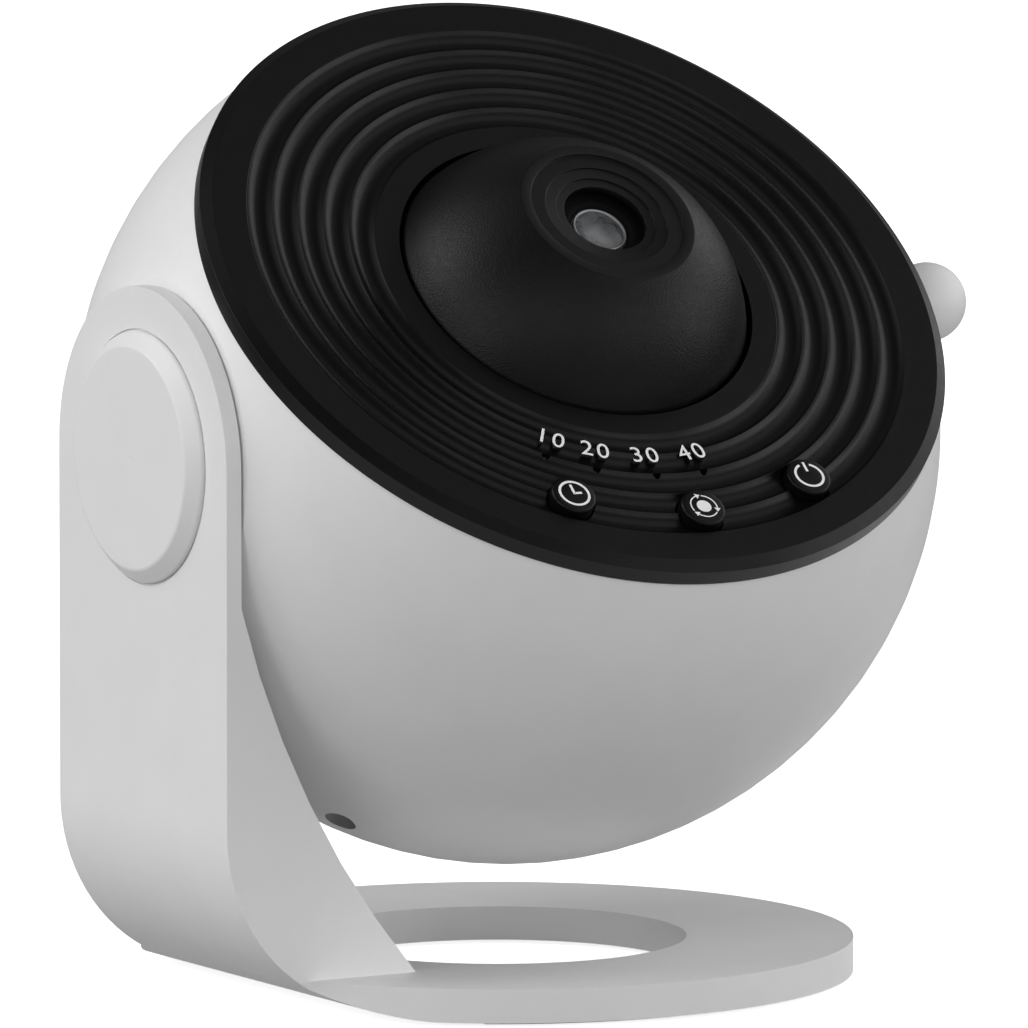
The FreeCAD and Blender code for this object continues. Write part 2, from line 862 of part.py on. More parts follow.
def socket_cuts():
    """The slot for the supply socket, with room round it for a plug."""
    low = -S.ball_radius
    y = S.socket_offset
    half = S.socket_width / 2 + S.gap
    rise = S.socket_height / 2 + S.gap
    slot = block("socket_slot", (-half, y - rise, low), (half, y + rise, -board_depth))
    half = S.plug_recess_width / 2
    rise = S.plug_recess_height / 2
    plug = block("plug_recess", (-half, y - rise, low), (half, y + rise, -recess_depth))
    return [slot, plug]


def socket_boss(floor):
    """A thicker patch of wall behind the plug's recess."""
    wall = S.plug_recess_wall
    half = S.plug_recess_width / 2 + wall
    rise = S.plug_recess_height / 2 + wall
    y = S.socket_offset
    return block("socket_boss", (-half, y - rise, floor), (half, y + rise, wall - recess_depth))


def driver_board_corners():
    x = S.driver_board_length / 2 - S.board_screw_inset
    y = S.driver_board_width / 2 - S.board_screw_inset
    return [(-x, -y), (x, -y), (x, y), (-x, y)]


def build_face_plate():
    """The rippled face: turned scallops that meet in sharp crests, a collar and bosses."""
    body = new_body("face_plate")
    profile = new_sketch(body, "XZ_Plane", "plate_profile")
    depth = S.groove_depth
    width = groove_pitch
    scallop = (width * width / 4 + depth * depth) / (2 * depth)
    ledge = S.dome_hole_radius - S.ledge_width
    low = ledge_height - S.ledge_thickness
    points = [
        (plate_radius, S.rim_height),
        (plate_radius, S.rim_height + S.plate_shoulder),
        (plate_radius - S.plate_chamfer_width, face_height),
    ]
    for crest in range(GROOVES):
        points.append((groove_radius - crest * width, face_height, -scallop))
    points += [
        (groove_radius - GROOVES * width, face_height),
        (S.dome_hole_radius, face_height),
        (S.dome_hole_radius, ledge_height),
        (ledge, ledge_height),
        (ledge, low),
        (collar_radius, low),
        (collar_radius, skin_height),
        (spigot_radius - S.spigot_wall, skin_height),
        (spigot_radius - S.spigot_wall, S.rim_height - S.spigot_depth),
        (spigot_radius, S.rim_height - S.spigot_depth),
        (spigot_radius, S.rim_height),
    ]
    outline(profile, points)
    revolve(body, profile, "V_Axis")
    bosses = new_sketch(body, "XY_Plane", "screw_bosses", height=S.tower_top)
    for azimuth in TOWERS.values():
        circle(bosses, S.screw_boss_radius, *radial(screw_circle, azimuth))
    pad(body, bosses, skin_height - S.tower_top + S.gap)
    guides = new_sketch(body, "XY_Plane", "guide_bosses", height=S.guide_top)
    for x, y in guide_places():
        circle(guides, S.guide_radius + S.bushing_wall, x, y)
    pad(body, guides, skin_height - S.guide_top + S.gap)
    posts = new_sketch(body, "XY_Plane", "board_posts", height=board_top)
    for x, y in control_posts():
        circle(posts, S.post_radius, x, y)
    pad(body, posts, skin_height - board_top + S.gap)
    holes = (
        ("screw_pilots", S.tower_top, S.screw_grip, S.screw_radius, tower_places()),
        ("guide_pilots", S.guide_top, S.screw_grip, S.guide_radius, guide_places()),
        ("post_pilots", board_top, S.plate_skin, S.small_screw_radius, control_posts()),
    )
    for name, height, grip, radius, places in holes:
        pilots = new_sketch(body, "XY_Plane", name, height=height)
        for x, y in places:
            circle(pilots, radius + S.running_fit, x, y)
        pocket(body, pilots, grip, up=True)
    keys = new_sketch(body, "XY_Plane", "button_holes", height=face_height)
    for azimuth in BUTTONS.values():
        circle(keys, S.button_radius + S.gap, *radial(button_circle, azimuth))
    pocket(body, keys)
    lamps = new_sketch(body, "XY_Plane", "lamp_holes", height=face_height)
    for x, y in lamp_places():
        circle(lamps, S.lamp_pipe_radius + S.running_fit, x, y)
    pocket(body, lamps)
    return in_head(body, "face_plate")


BUTTONS = {
    "timer_button": -S.button_azimuth,
    "rotation_button": size_of(0),
    "power_button": S.button_azimuth,
}


def tower_places():
    return [radial(screw_circle, azimuth) for azimuth in TOWERS.values()]


def guide_places():
    return [radial(S.guide_circle, size_of(turn)) for turn in GUIDE_TURNS]


def control_posts():
    """Two posts for the control board, each half way between two buttons."""
    turn = S.button_azimuth / 2
    return [radial(button_circle, -turn), radial(button_circle, turn)]


def lamp_places():
    return [radial(lamp_circle, getattr(S, alias)) for alias in LAMP_AZIMUTHS]


def build_shell_screws():
    points = [
        (0, S.screw_seat - S.screw_head_height),
        (S.screw_head_radius, S.screw_seat - S.screw_head_height),
        (S.screw_head_radius, S.screw_seat),
        (S.screw_radius, S.screw_seat),
        (S.screw_radius, S.tower_top + S.screw_grip - S.gap),
        (0, S.tower_top + S.screw_grip - S.gap),
    ]
    screws = []
    for name, (x, y) in zip(TOWERS, tower_places()):
        screws.append(shift(turned_body(name + "_screw", points), x, y))
    return in_head(grouped("shell_screws", screws), "shell_screws")


# ---------------------------------------------------------------- dome and projection lens


def build_lens_dome():
    """A thin dome with a stepped eye, and a socket inside for the lens barrel."""
    skirt = S.dome_hole_radius - S.dome_gap
    outer = skirt + S.dome_bulge
    inner = outer - S.dome_wall
    centre = S.dome_top - leg(outer, S.dome_flat_radius)
    skirt_in = skirt - S.dome_wall
    ceiling = S.dome_top - S.dome_ceiling
    socket = S.barrel_radius + S.running_fit
    socket_out = socket + S.barrel_socket_wall
    points = [
        (skirt, ledge_height),
        (skirt, centre + leg(outer, skirt), outer),
        (S.dome_flat_radius, S.dome_top),
    ]
    step = S.dome_step_radius
    for drop in range(EYE_STEPS):
        height = S.dome_top - drop * S.dome_step_depth
        points.append((step, height))
        points.append((step, height - S.dome_step_depth))
        step = step - S.dome_step_width
    eye = S.dome_top - EYE_STEPS * S.dome_step_depth
    points += [
        (step, eye),
        (step, eye - S.dome_step_depth),
        (S.dome_bore_radius, eye - S.dome_step_depth),
        (S.dome_bore_radius, S.barrel_top),
        (socket, S.barrel_top),
        (socket, S.barrel_top - S.barrel_socket_depth),
        (socket_out, S.barrel_top - S.barrel_socket_depth),
        (socket_out, ceiling),
        (leg(inner, ceiling - centre), ceiling, -inner),
        (skirt_in, centre + leg(inner, skirt_in)),
        (skirt_in, ledge_height),
    ]
    return in_head(turned_body("lens_dome", points), "lens_dome")


def seat_drop(curve, inner, outer):
    """How far a ring's inner edge stands off the rim of the curved lens that it bears on."""
    return leg(curve, inner) - leg(curve, outer)


lip_low = S.barrel_top - S.barrel_lip
barrel_low = S.barrel_top - S.barrel_length
ring_drop = seat_drop(S.lens_curve, S.lens_opening, S.lens_radius)
front_lens_top = lip_low - ring_drop
front_lens_low = front_lens_top - S.lens_edge
rear_lens_top = front_lens_low - S.lens_spacing
rear_lens_low = rear_lens_top - S.lens_edge


def build_lens_barrel():
    bore = S.lens_radius + S.running_fit
    points = [
        (S.lens_opening, lip_low),
        (bore, lip_low),
        (bore, barrel_low),
        (S.barrel_radius, barrel_low),
        (S.barrel_radius, S.barrel_top),
        (S.lens_opening + S.barrel_lip, S.barrel_top),
    ]
    return in_head(turned_body("lens_barrel", points), "lens_barrel")


def lens_points(radius, top, edge, curve):
    """A biconvex lens: two equal caps on a straight edge, the upper edge at top."""
    sag = curve - leg(curve, radius)
    return [
        (0, top - edge - sag, curve),
        (radius, top - edge),
        (radius, top, curve),
        (0, top + sag),
    ]


def build_lens(label, top):
    points = lens_points(S.lens_radius, top, S.lens_edge, S.lens_curve)
    return in_head(turned_body(label, points), label)


def build_lens_ring(label, low, high):
    points = tube_points(S.lens_opening, S.lens_radius, low, high)
    return in_head(turned_body(label, points), label)


# ---------------------------------------------------------------- controls


def build_button(label, azimuth):
    """A round key that is held in from behind by its flange and stands on a stem."""
    top = face_height + S.button_proud
    edge = S.button_edge
    flange = S.button_radius + S.button_flange
    stem_low = switch_top - S.button_stem_radius
    points = [
        (0, top),
        (S.button_radius - edge, top),
        (S.button_radius, top - edge),
        (S.button_radius, flange_top),
        (flange, flange_top),
        (flange, flange_low),
        (S.button_stem_radius, flange_low),
        (S.button_stem_radius, stem_low),
        (0, stem_low),
    ]
    x, y = radial(button_circle, azimuth)
    return in_head(turned_body(label, points), label, x, y)


def build_control_board():
    """A crescent of circuit board under the keys."""
    body = new_body("control_board")
    sketch = new_sketch(body, "XY_Plane", "crescent", height=S.control_board_height)
    azimuth = S.control_board_azimuth
    outer = spigot_radius - S.spigot_wall - S.control_board_clearance
    inner = collar_radius + S.control_board_clearance
    outline(sketch, [
        radial(outer, -azimuth) + (outer,),
        radial(outer, azimuth),
        radial(inner, azimuth) + (-inner,),
        radial(inner, -azimuth),
    ])
    pad(body, sketch, S.board_thickness)
    holes = new_sketch(body, "XY_Plane", "board_holes", height=board_top)
    for x, y in control_posts():
        circle(holes, S.small_screw_radius + S.running_fit, x, y)
    pocket(body, holes)
    return in_head(body, "control_board")


def build_control_board_screws():
    low = S.control_board_height
    points = [
        (0, low - S.small_head_height),
        (S.small_head_radius, low - S.small_head_height),
        (S.small_head_radius, low),
        (S.small_screw_radius, low),
        (S.small_screw_radius, board_top + S.plate_skin - S.gap),
        (0, board_top + S.plate_skin - S.gap),
    ]
    screws = []
    for index, (x, y) in enumerate(control_posts()):
        screws.append(shift(turned_body("control_screw_" + str(index), points), x, y))
    return in_head(grouped("control_board_screws", screws), "control_board_screws")


def build_tact_switches():
    """Three square switches, each with a well that takes the stem of its key."""
    switches = []
    half = S.switch_side / 2
    well = S.button_stem_radius + S.gap
    for label, azimuth in BUTTONS.items():
        x, y = radial(button_circle, azimuth)
        low = (x - half, y - half, board_top)
        high = (x + half, y + half, switch_top)
        case = block(label + "_switch_case", low, high)
        depth = S.button_stem_radius + S.button_travel + S.gap
        hole = cylinder(label + "_switch_well", well, switch_top - depth, switch_top + OVERCUT, x, y)
        switches.append(less(label + "_switch", case, hole))
    return in_head(grouped("tact_switches", switches), "tact_switches")


def build_indicator_lamps():
    lamps = []
    half = S.lamp_pipe_radius
    for index, (x, y) in enumerate(lamp_places()):
        low = (x - S.lamp_pipe_head, y - half, board_top)
        high = (x + S.lamp_pipe_head, y + half, board_top + half)
        lamps.append(block("lamp_" + str(index), low, high))
    return in_head(grouped("indicator_lamps", lamps), "indicator_lamps")


def build_light_pipes():
    """Clear pins that carry each lamp's light up to the crest of a ripple."""
    low = board_top + S.lamp_pipe_radius + S.gap
    points = [
        (0, low),
        (S.lamp_pipe_head, low),
        (S.lamp_pipe_head, skin_height),
        (S.lamp_pipe_radius, skin_height),
        (S.lamp_pipe_radius, face_height - S.groove_depth),
        (0, face_height - S.groove_depth),
    ]
    pipes = []
    for index, (x, y) in enumerate(lamp_places()):
        pipes.append(shift(turned_body("light_pipe_" + str(index), points), x, y))
    return in_head(grouped("light_pipes", pipes), "light_pipes")


# ---------------------------------------------------------------- gearing


def moved(shape, x=0.0, z=0.0, spin=0.0, tip=0.0):
    """A copy turned about Z, then tipped about Y, then moved along X and Z."""
    turn = FreeCAD.Rotation(Vector(0, 1, 0), tip).multiply(FreeCAD.Rotation(Vector(0, 0, 1), spin))
    place = FreeCAD.Placement(Vector(x, 0, z), turn)
    return shape.transformed(place.toMatrix(), True)


def polar_point(radius, angle):
    return Vector(radius * math.cos(angle), radius * math.sin(angle), 0)


def gear_face(teeth, bore):
    """A spur gear's face: involute flanks on radial roots, with shortened teeth."""
    pressure = math.radians(PRESSURE_ANGLE)
    module = S.gear_module.value
    pitch = module * teeth / 2
    base = pitch * math.cos(pressure)
    tip = pitch + ADDENDUM * module
    root = pitch - DEDENDUM * module
    half_tooth = (math.pi * module / 2 - S.backlash.value) / (2 * pitch)
    involute = math.tan(pressure) - pressure
    radii = [root, max(base, root), pitch, tip]
    offsets = []
    for radius in radii:
        angle = math.acos(min(base / radius, 1.0))
        offsets.append(half_tooth + involute - (math.tan(angle) - angle))
    points = []
    for tooth in range(teeth):
        middle = 2 * math.pi * tooth / teeth
        for radius, offset in zip(radii, offsets):
            points.append(polar_point(radius, middle - offset))
        for radius, offset in reversed(list(zip(radii, offsets))):
            points.append(polar_point(radius, middle + offset))
    rim = Part.Face(Part.makePolygon(points + points[:1]))
    hole = Part.Face(Part.Wire(Part.makeCircle(bore)))
    return rim.cut(hole).Faces[0]


def build_turntable():
    """The toothed ring that carries a star film round, with a rim to centre the film frame."""
    teeth = int(S.turntable_teeth.value)
    bore = (S.hub_radius + S.running_fit).value
    gear = gear_face(teeth, bore).extrude(Vector(0, 0, S.gear_face.value))
    gear = moved(gear, z=gear_low.value, spin=180.0 / teeth)
    rim_in = (S.film_frame_radius + S.gap).value
    rim_out = rim_in + S.turntable_rim.value
    height = S.film_frame_height.value
    base = Vector(0, 0, gear_high.value)
    rim = Part.makeCylinder(rim_out, height, base).cut(Part.makeCylinder(rim_in, height, base))
    feature = doc.addObject("Part::Feature", "turntable")
    feature.Shape = gear.fuse(rim).removeSplitter()
    return in_head(feature, "turntable")


def build_motor_pinion():
    teeth = int(S.pinion_teeth.value)
    gear = gear_face(teeth, S.motor_shaft_radius.value)
    feature = doc.addObject("Part::Feature", "motor_pinion")
    feature.Shape = moved(gear.extrude(Vector(0, 0, S.gear_face.value)), z=gear_low.value)
    return in_head(feature, "motor_pinion", x=-motor_distance)


def build_focus_pinion():
    """The pinion on the dial's shaft; a gap between teeth faces the rack's middle tooth."""
    teeth = int(S.pinion_teeth.value)
    face = S.pinion_face.value
    gear = gear_face(teeth, S.pinion_shaft_radius.value).extrude(Vector(0, 0, face))
    start = S.dial_shaft_end.value - face
    feature = doc.addObject("Part::Feature", "focus_pinion")
    feature.Shape = moved(gear, x=start, spin=180.0 / teeth, tip=90.0)
    return in_head(feature, "focus_pinion")


def build_focus_rack():
    """A straight rack along the projection axis, under the carriage's ear."""
    body = new_body("focus_rack")
    end = S.dial_shaft_end - S.pinion_face
    sketch = new_sketch(body, "YZ_Plane", "rack_teeth", height=end)
    module = S.gear_module
    pitch = module * math.pi
    slope = math.tan(math.radians(PRESSURE_ANGLE))
    quarter = pitch / 4 - S.backlash / 4
    tip_half = quarter - (ADDENDUM * slope) * module
    root_half = quarter + (DEDENDUM * slope) * module
    top = S.carriage_plate_height
    points = [(rack_back, top), (rack_root, top)]
    for tooth in range(RACK_REACH, -RACK_REACH - 1, -1):
        middle = tooth * pitch
        points += [
            (rack_root, middle + root_half),
            (rack_tip, middle + tip_half),
            (rack_tip, middle - tip_half),
            (rack_root, middle - root_half),
        ]
    low = -RACK_REACH * pitch - pitch / 2
    points += [(rack_root, low), (rack_back, low)]
    outline(sketch, points)
    pad(body, sketch, S.pinion_face)
    return in_head(body, "focus_rack")


# ---------------------------------------------------------------- focus dial


def build_focus_dial():
    """A thin disc in the ball's flat, with the shaft that reaches in to the rack."""
    snap = boss_reach - S.gap
    points = [
        (0, dial_front),
        (S.dial_radius - S.dial_edge, dial_front),
        (S.dial_radius, dial_front - S.dial_edge),
        (S.dial_radius, dial_back),
        (S.dial_shaft_radius, dial_back),
        (S.dial_shaft_radius, snap),
        (S.dial_shaft_radius - S.clip_groove, snap),
        (S.dial_shaft_radius - S.clip_groove, snap - S.clip_thickness),
        (S.dial_shaft_radius, snap - S.clip_thickness),
        (S.dial_shaft_radius, S.dial_shaft_end),
        (S.pinion_shaft_radius, S.dial_shaft_end),
        (S.pinion_shaft_radius, S.dial_shaft_end - S.pinion_face),
        (0, S.dial_shaft_end - S.pinion_face),
    ]
    dial = turned_body("focus_dial_disc", side_points(points), "H_Axis")
    pin = doc.addObject("Part::Cylinder", "handle_hole")
    bind(pin, "Radius", S.handle_pin_radius + S.running_fit)
    bind(pin, "Height", S.dial_thickness)
    pin.Placement = FreeCAD.Placement(Vector(1, 0, 1), FreeCAD.Rotation(Vector(0, 1, 0), 90.0))
    bind(pin, "Placement.Base.x", dial_back + S.dial_edge)
    bind(pin, "Placement.Base.z", S.ball_handle_offset)
    return in_head(less("focus_dial", dial, pin), "focus_dial")


def build_ball_handle():
    """A ball with a flat that sits on the dial, on a short pin."""
    radius = S.ball_handle_radius
    lift = S.ball_handle_lift
    seat = dial_front
    foot = dial_back + S.dial_edge
    points = [
        (0, seat + lift + radius, -radius),
        (radius, seat + lift, -radius),
        (leg(radius, lift), seat),
        (S.handle_pin_radius, seat),
        (S.handle_pin_radius, foot),
        (0, foot),
    ]
    body = turned_body("ball_handle", side_points(points), "H_Axis")
    return in_head(body, "ball_handle", z=S.ball_handle_offset)


def build_dial_clip():
    snap = boss_reach - S.gap
    inner = S.dial_shaft_radius - S.clip_groove + S.running_fit
    points = tube_points(inner, S.dial_boss_radius - S.gap, snap - S.clip_thickness, snap)
    return in_head(turned_body("dial_clip", side_points(points), "H_Axis"), "dial_clip")


# ---------------------------------------------------------------- focus carriage and engine


def build_focus_carriage():
    """The sliding frame: a tube for the condenser, a plate for the turntable, three bushings."""
    body = new_body("focus_carriage")
    profile = new_sketch(body, "XZ_Plane", "carriage_profile")
    low = S.board_thickness
    outline(profile, [
        (S.carriage_bore, low),
        (S.carriage_bore + S.carriage_tube_wall, low),
        (S.carriage_bore + S.carriage_tube_wall, S.carriage_plate_height),
        (S.carriage_plate_radius, S.carriage_plate_height),
        (S.carriage_plate_radius, plate_top),
        (S.hub_radius, plate_top),
        (S.hub_radius, gear_high - S.gap),
        (S.light_bore, gear_high - S.gap),
        (S.light_bore, S.condenser_seat),
        (S.carriage_bore, S.condenser_seat),
    ])
    revolve(body, profile, "V_Axis")
    ears = new_sketch(body, "XY_Plane", "guide_ear", height=S.carriage_plate_height)
    half = S.guide_radius + S.bushing_wall
    inner = S.carriage_bore + S.carriage_tube_wall
    outline(ears, [
        (-half, inner),
        (half, inner),
        (half, S.guide_circle, half),
        (0, S.guide_circle + half, half),
        (-half, S.guide_circle),
    ])
    ear = pad(body, ears, S.carriage_plate_thickness)
    bushing = new_sketch(body, "XY_Plane", "guide_bushing", height=plate_top)
    circle(bushing, half, 0, S.guide_circle)
    tube = pad(body, bushing, S.bushing_length, down=True)
    bore = new_sketch(body, "XY_Plane", "guide_bore", height=plate_top)
    circle(bore, S.guide_radius + S.running_fit, 0, S.guide_circle)
    hole = pocket(body, bore, S.bushing_length)
    doc.recompute()
    pattern = body.newObject("PartDesign::PolarPattern", "three_guides")
    pattern.Originals = [ear, tube, hole]
    pattern.Axis = (profile, ["V_Axis"])
    pattern.Angle = 360
    pattern.Occurrences = len(GUIDE_TURNS)
    body.Tip = pattern
    doc.recompute()
    seat = new_sketch(body, "XY_Plane", "motor_seat", height=S.carriage_plate_height)
    half = S.motor_radius
    far = motor_distance + half
    rectangle(seat, -far, -half, -inner, half)
    pad(body, seat, S.carriage_plate_thickness)
    rack_seat = new_sketch(body, "XY_Plane", "rack_seat", height=S.carriage_plate_height)
    end = S.dial_shaft_end
    rectangle(rack_seat, inner, rack_tip, end, rack_back)
    pad(body, rack_seat, S.carriage_plate_thickness)
    collar = new_sketch(body, "XY_Plane", "motor_collar_hole", height=plate_top)
    circle(collar, S.motor_collar_radius, -motor_distance, 0)
    pocket(body, collar, S.carriage_plate_thickness)
    pilots = new_sketch(body, "XY_Plane", "engine_pilots", height=low)
    for y in (-engine_screw_offset, engine_screw_offset):
        circle(pilots, S.small_screw_radius + S.running_fit, 0, y)
    pocket(body, pilots, S.small_screw_grip, up=True)
    return in_head(body, "focus_carriage")


engine_screw_offset = S.carriage_bore + S.carriage_tube_wall / 2


def build_guide_screws():
    """Shoulder screws in the face plate's bosses; the carriage slides on their shanks."""
    low = S.guide_bottom
    points = [
        (0, low - S.screw_head_height),
        (S.guide_head_radius, low - S.screw_head_height),
        (S.guide_head_radius, low),
        (S.guide_radius, low),
        (S.guide_radius, S.guide_top + S.screw_grip - S.gap),
        (0, S.guide_top + S.screw_grip - S.gap),
    ]
    screws = []
    for index, (x, y) in enumerate(guide_places()):
        screws.append(shift(turned_body("guide_screw_" + str(index), points), x, y))
    return in_head(grouped("guide_screws", screws), "guide_screws")


condenser_radius = S.carriage_bore - S.running_fit
condenser_low = S.condenser_seat - S.condenser_edge


def build_condenser_lens():
    """A plano-convex lens, flat side up against the carriage's step."""
    curve = S.condenser_curve
    sag = curve - leg(curve, condenser_radius)
    points = [
        (0, condenser_low - sag, curve),
        (condenser_radius, condenser_low),
        (condenser_radius, S.condenser_seat),
        (0, S.condenser_seat),
    ]
    return in_head(turned_body("condenser_lens", points), "condenser_lens")


def build_condenser_spacer():
    inner = condenser_radius - S.condenser_ring_wall
    high = condenser_low - seat_drop(S.condenser_curve, inner, condenser_radius)
    points = tube_points(inner, condenser_radius, S.board_thickness, high)
    return in_head(turned_body("condenser_spacer", points), "condenser_spacer")


def build_led_board():
    body = new_body("led_board")
    sketch = new_sketch(body, "XY_Plane", "star_board")
    circle(sketch, S.led_board_radius)
    for y in (-engine_screw_offset, engine_screw_offset):
        circle(sketch, S.small_screw_radius + S.running_fit, 0, y)
    pad(body, sketch, S.board_thickness)
    return in_head(body, "led_board")


def build_projection_led():
    """The lamp: a square package with a clear bead on top."""
    half = S.led_side / 2
    low = S.board_thickness
    top = low + S.led_height
    package = block("led_package", (-half, -half, low), (half, half, top))
    bead = doc.addObject("Part::Sphere", "led_bead")
    bind(bead, "Radius", S.led_bead_radius)
    bind(bead, "Placement.Base.z", top)
    return in_head(joined("projection_led", [package, bead]), "projection_led")


def build_heat_sink():
    """A round block slotted from below into straight fins."""
    body = new_body("heat_sink")
    sketch = new_sketch(body, "XY_Plane", "sink_outline")
    circle(sketch, S.led_board_radius)
    pad(body, sketch, S.heat_sink_height, down=True)
    slots = new_sketch(body, "XY_Plane", "fin_slots", height=-S.heat_sink_height)
    reach = S.led_board_radius + OVERCUT
    gap = S.fin_pitch - S.fin_thickness
    count = int(2 * S.led_board_radius.value / S.fin_pitch.value)
    first = -(S.fin_pitch * (count - 1) / 2)
    for index in range(count):
        middle = first + index * S.fin_pitch
        rectangle(slots, middle - gap / 2, -reach, middle + gap / 2, reach)
    pocket(body, slots, S.heat_sink_height - S.heat_sink_base, up=True)
    wells = new_sketch(body, "XY_Plane", "screw_wells", height=-S.heat_sink_height)
    holes = new_sketch(body, "XY_Plane", "screw_holes", height=-S.heat_sink_height)
    for y in (-engine_screw_offset, engine_screw_offset):
        circle(wells, S.small_head_radius + S.gap, 0, y)
        circle(holes, S.small_screw_radius + S.running_fit, 0, y)
    pocket(body, wells, S.heat_sink_height - S.heat_sink_base, up=True)
    pocket(body, holes, S.heat_sink_height, up=True)
    return in_head(body, "heat_sink")


def build_engine_screws():
    low = -S.heat_sink_base
    end = S.board_thickness + S.small_screw_grip - S.gap
    points = [
        (0, low - S.small_head_height),
        (S.small_head_radius, low - S.small_head_height),
        (S.small_head_radius, low),
        (S.small_screw_radius, low),
        (S.small_screw_radius, end),
        (0, end),
    ]
    screws = []
    for name, y in (("front", -engine_screw_offset), ("rear", engine_screw_offset)):
        screws.append(shift(turned_body(name + "_engine_screw", points), 0, y))
    return in_head(grouped("engine_screws", screws), "engine_screws")


def build_motor():
    """A small round gear motor under the plate, with a bore for its own shaft."""
    top = S.carriage_plate_height
    low = top - S.motor_length
    bore = S.motor_shaft_radius + S.running_fit
    collar = S.motor_collar_radius - S.running_fit
    points = [
        (0, low),
        (S.motor_radius, low),
        (S.motor_radius, top),
        (collar, top),
        (collar, plate_top),
        (bore, plate_top),
        (bore, top - S.gear_face),
        (0, top - S.gear_face),
    ]
    return in_head(turned_body("motor", points), "motor", x=-motor_distance)


def build_motor_shaft():
    low = S.carriage_plate_height - S.gear_face + S.gap
    points = tube_points(0, S.motor_shaft_radius, low, gear_high + S.gap)
    return in_head(turned_body("motor_shaft", points), "motor_shaft", x=-motor_distance)


def build_film_frame():
    """A flat ring with a step on top that holds the printed film."""
    low = gear_high
    high = low + S.film_frame_height
    step = high - S.film_thickness * 2
    points = [
        (S.hub_radius - S.film_frame_lap, low),
        (S.film_frame_radius, low),
        (S.film_frame_radius, high),
        (S.film_radius + S.running_fit, high),
        (S.film_radius + S.running_fit, step),
        (S.hub_radius - S.film_frame_lap, step),
    ]
    return in_head(turned_body("film_frame", points), "film_frame")


def build_star_film():
    low = gear_high + S.film_frame_height - S.film_thickness * 2
    points = tube_points(0, S.film_radius, low, low + S.film_thickness)
    return in_head(turned_body("star_film", points), "star_film")


# ---------------------------------------------------------------- supply


def build_driver_board():
    body = new_body("driver_board")
    top = -board_depth + S.board_thickness
    sketch = new_sketch(body, "XY_Plane", "board_outline", height=-board_depth)
    half_x = S.driver_board_length / 2
    half_y = S.driver_board_width / 2
    rectangle(sketch, -half_x, -half_y, half_x, half_y)
    for x, y in driver_board_corners():
        circle(sketch, S.small_screw_radius + S.running_fit, x, y)
    pad(body, sketch, top + board_depth)
    return in_head(body, "driver_board")


def build_driver_board_screws():
    seat = -board_depth + S.board_thickness
    end = -board_depth - S.small_screw_grip + S.gap
    points = [
        (0, end),
        (S.small_screw_radius, end),
        (S.small_screw_radius, seat),
        (S.small_head_radius, seat),
        (S.small_head_radius, seat + S.small_head_height),
        (0, seat + S.small_head_height),
    ]
    screws = []
    for index, (x, y) in enumerate(driver_board_corners()):
        screws.append(shift(turned_body("driver_screw_" + str(index), points), x, y))
    return in_head(grouped("driver_board_screws", screws), "driver_board_screws")


def build_usb_socket():
    """An upright supply socket: an oblong shell with a tongue inside."""
    top = -board_depth
    low = top - S.socket_length
    half = S.socket_width / 2
    rise = S.socket_height / 2
    y = S.socket_offset
    wall = S.socket_wall
    shell = block("socket_shell", (-half, y - rise, low), (half, y + rise, top))
    depth = top - S.socket_floor
    mouth_low = (wall - half, y - rise + wall, low - OVERCUT)
    mouth = block("socket_mouth", mouth_low, (half - wall, y + rise - wall, depth))
    half = S.socket_tongue_width / 2
    tongue = block("socket_tongue", (-half, y - wall, low + wall), (half, y + wall, depth + wall))
    return in_head(joined("usb_socket", [less("socket_can", shell, mouth), tongue]), "usb_socket")


# ---------------------------------------------------------------- build, check, write

build_stand_bracket()
build_foot_pad()
build_pivot_cap()
build_pivot_bolt()
bolt_hole = S.bolt_radius + S.running_fit
friction = build_side_ring("friction_washer", bolt_hole, S.washer_radius, flat_reach, arm_inner_reach)
at_pivot(friction, "friction_washer")
bush = build_side_ring("pivot_bush", bolt_hole, S.bush_radius, boss_reach, flat_reach)
in_head(bush, "pivot_bush")
spring = build_side_ring("spring_washer", bolt_hole, S.spring_washer_radius, washer_face, boss_reach)
at_pivot(spring, "spring_washer")
build_pivot_nut()
build_rear_shell()
build_face_plate()
build_shell_screws()
build_lens_dome()
build_lens_barrel()
build_lens("objective_lens", front_lens_top)
build_lens_ring("lens_spacer", rear_lens_top + ring_drop, front_lens_low - ring_drop)
build_lens("relay_lens", rear_lens_top)
retainer_top = rear_lens_low - ring_drop
build_lens_ring("lens_retainer", retainer_top - S.retainer_height, retainer_top)
for button_label, button_azimuth in BUTTONS.items():
    build_button(button_label, button_azimuth)
build_control_board()
build_control_board_screws()
build_tact_switches()
build_indicator_lamps()
build_light_pipes()
build_focus_dial()
build_ball_handle()
build_dial_clip()
build_focus_pinion()
build_focus_carriage()
build_focus_rack()
build_guide_screws()
build_condenser_lens()
build_condenser_spacer()
build_led_board()
build_projection_led()
build_heat_sink()
build_engine_screws()
build_motor()
build_motor_shaft()
build_motor_pinion()
build_turntable()
build_film_frame()
build_star_film()
build_driver_board()
build_driver_board_screws()
build_usb_socket()
doc.recompute()

for item in doc.Objects:
    if "Invalid" in item.State or "Error" in item.State:
        raise RuntimeError(item.Label + " did not build: " + str(item.State))
os.makedirs("parts", exist_ok=True)
for label, piece in pieces.items():
    shape = piece.Shape
    if shape.isNull() or not shape.isValid() or not shape.Solids:
        raise RuntimeError(label + " has no sound solid")
    shape.exportStep("parts/" + label + ".step")
    print(label, len(shape.Solids), round(shape.Volume, 1))
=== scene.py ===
"""Looks of a planetarium projector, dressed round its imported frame.

Lengths in the classes are millimetres and angles are degrees. The pieces of the ball head are
modelled in the head's own frame, with Z along the projection axis and X along the pivot, and
are then laid over the frame's head.
"""

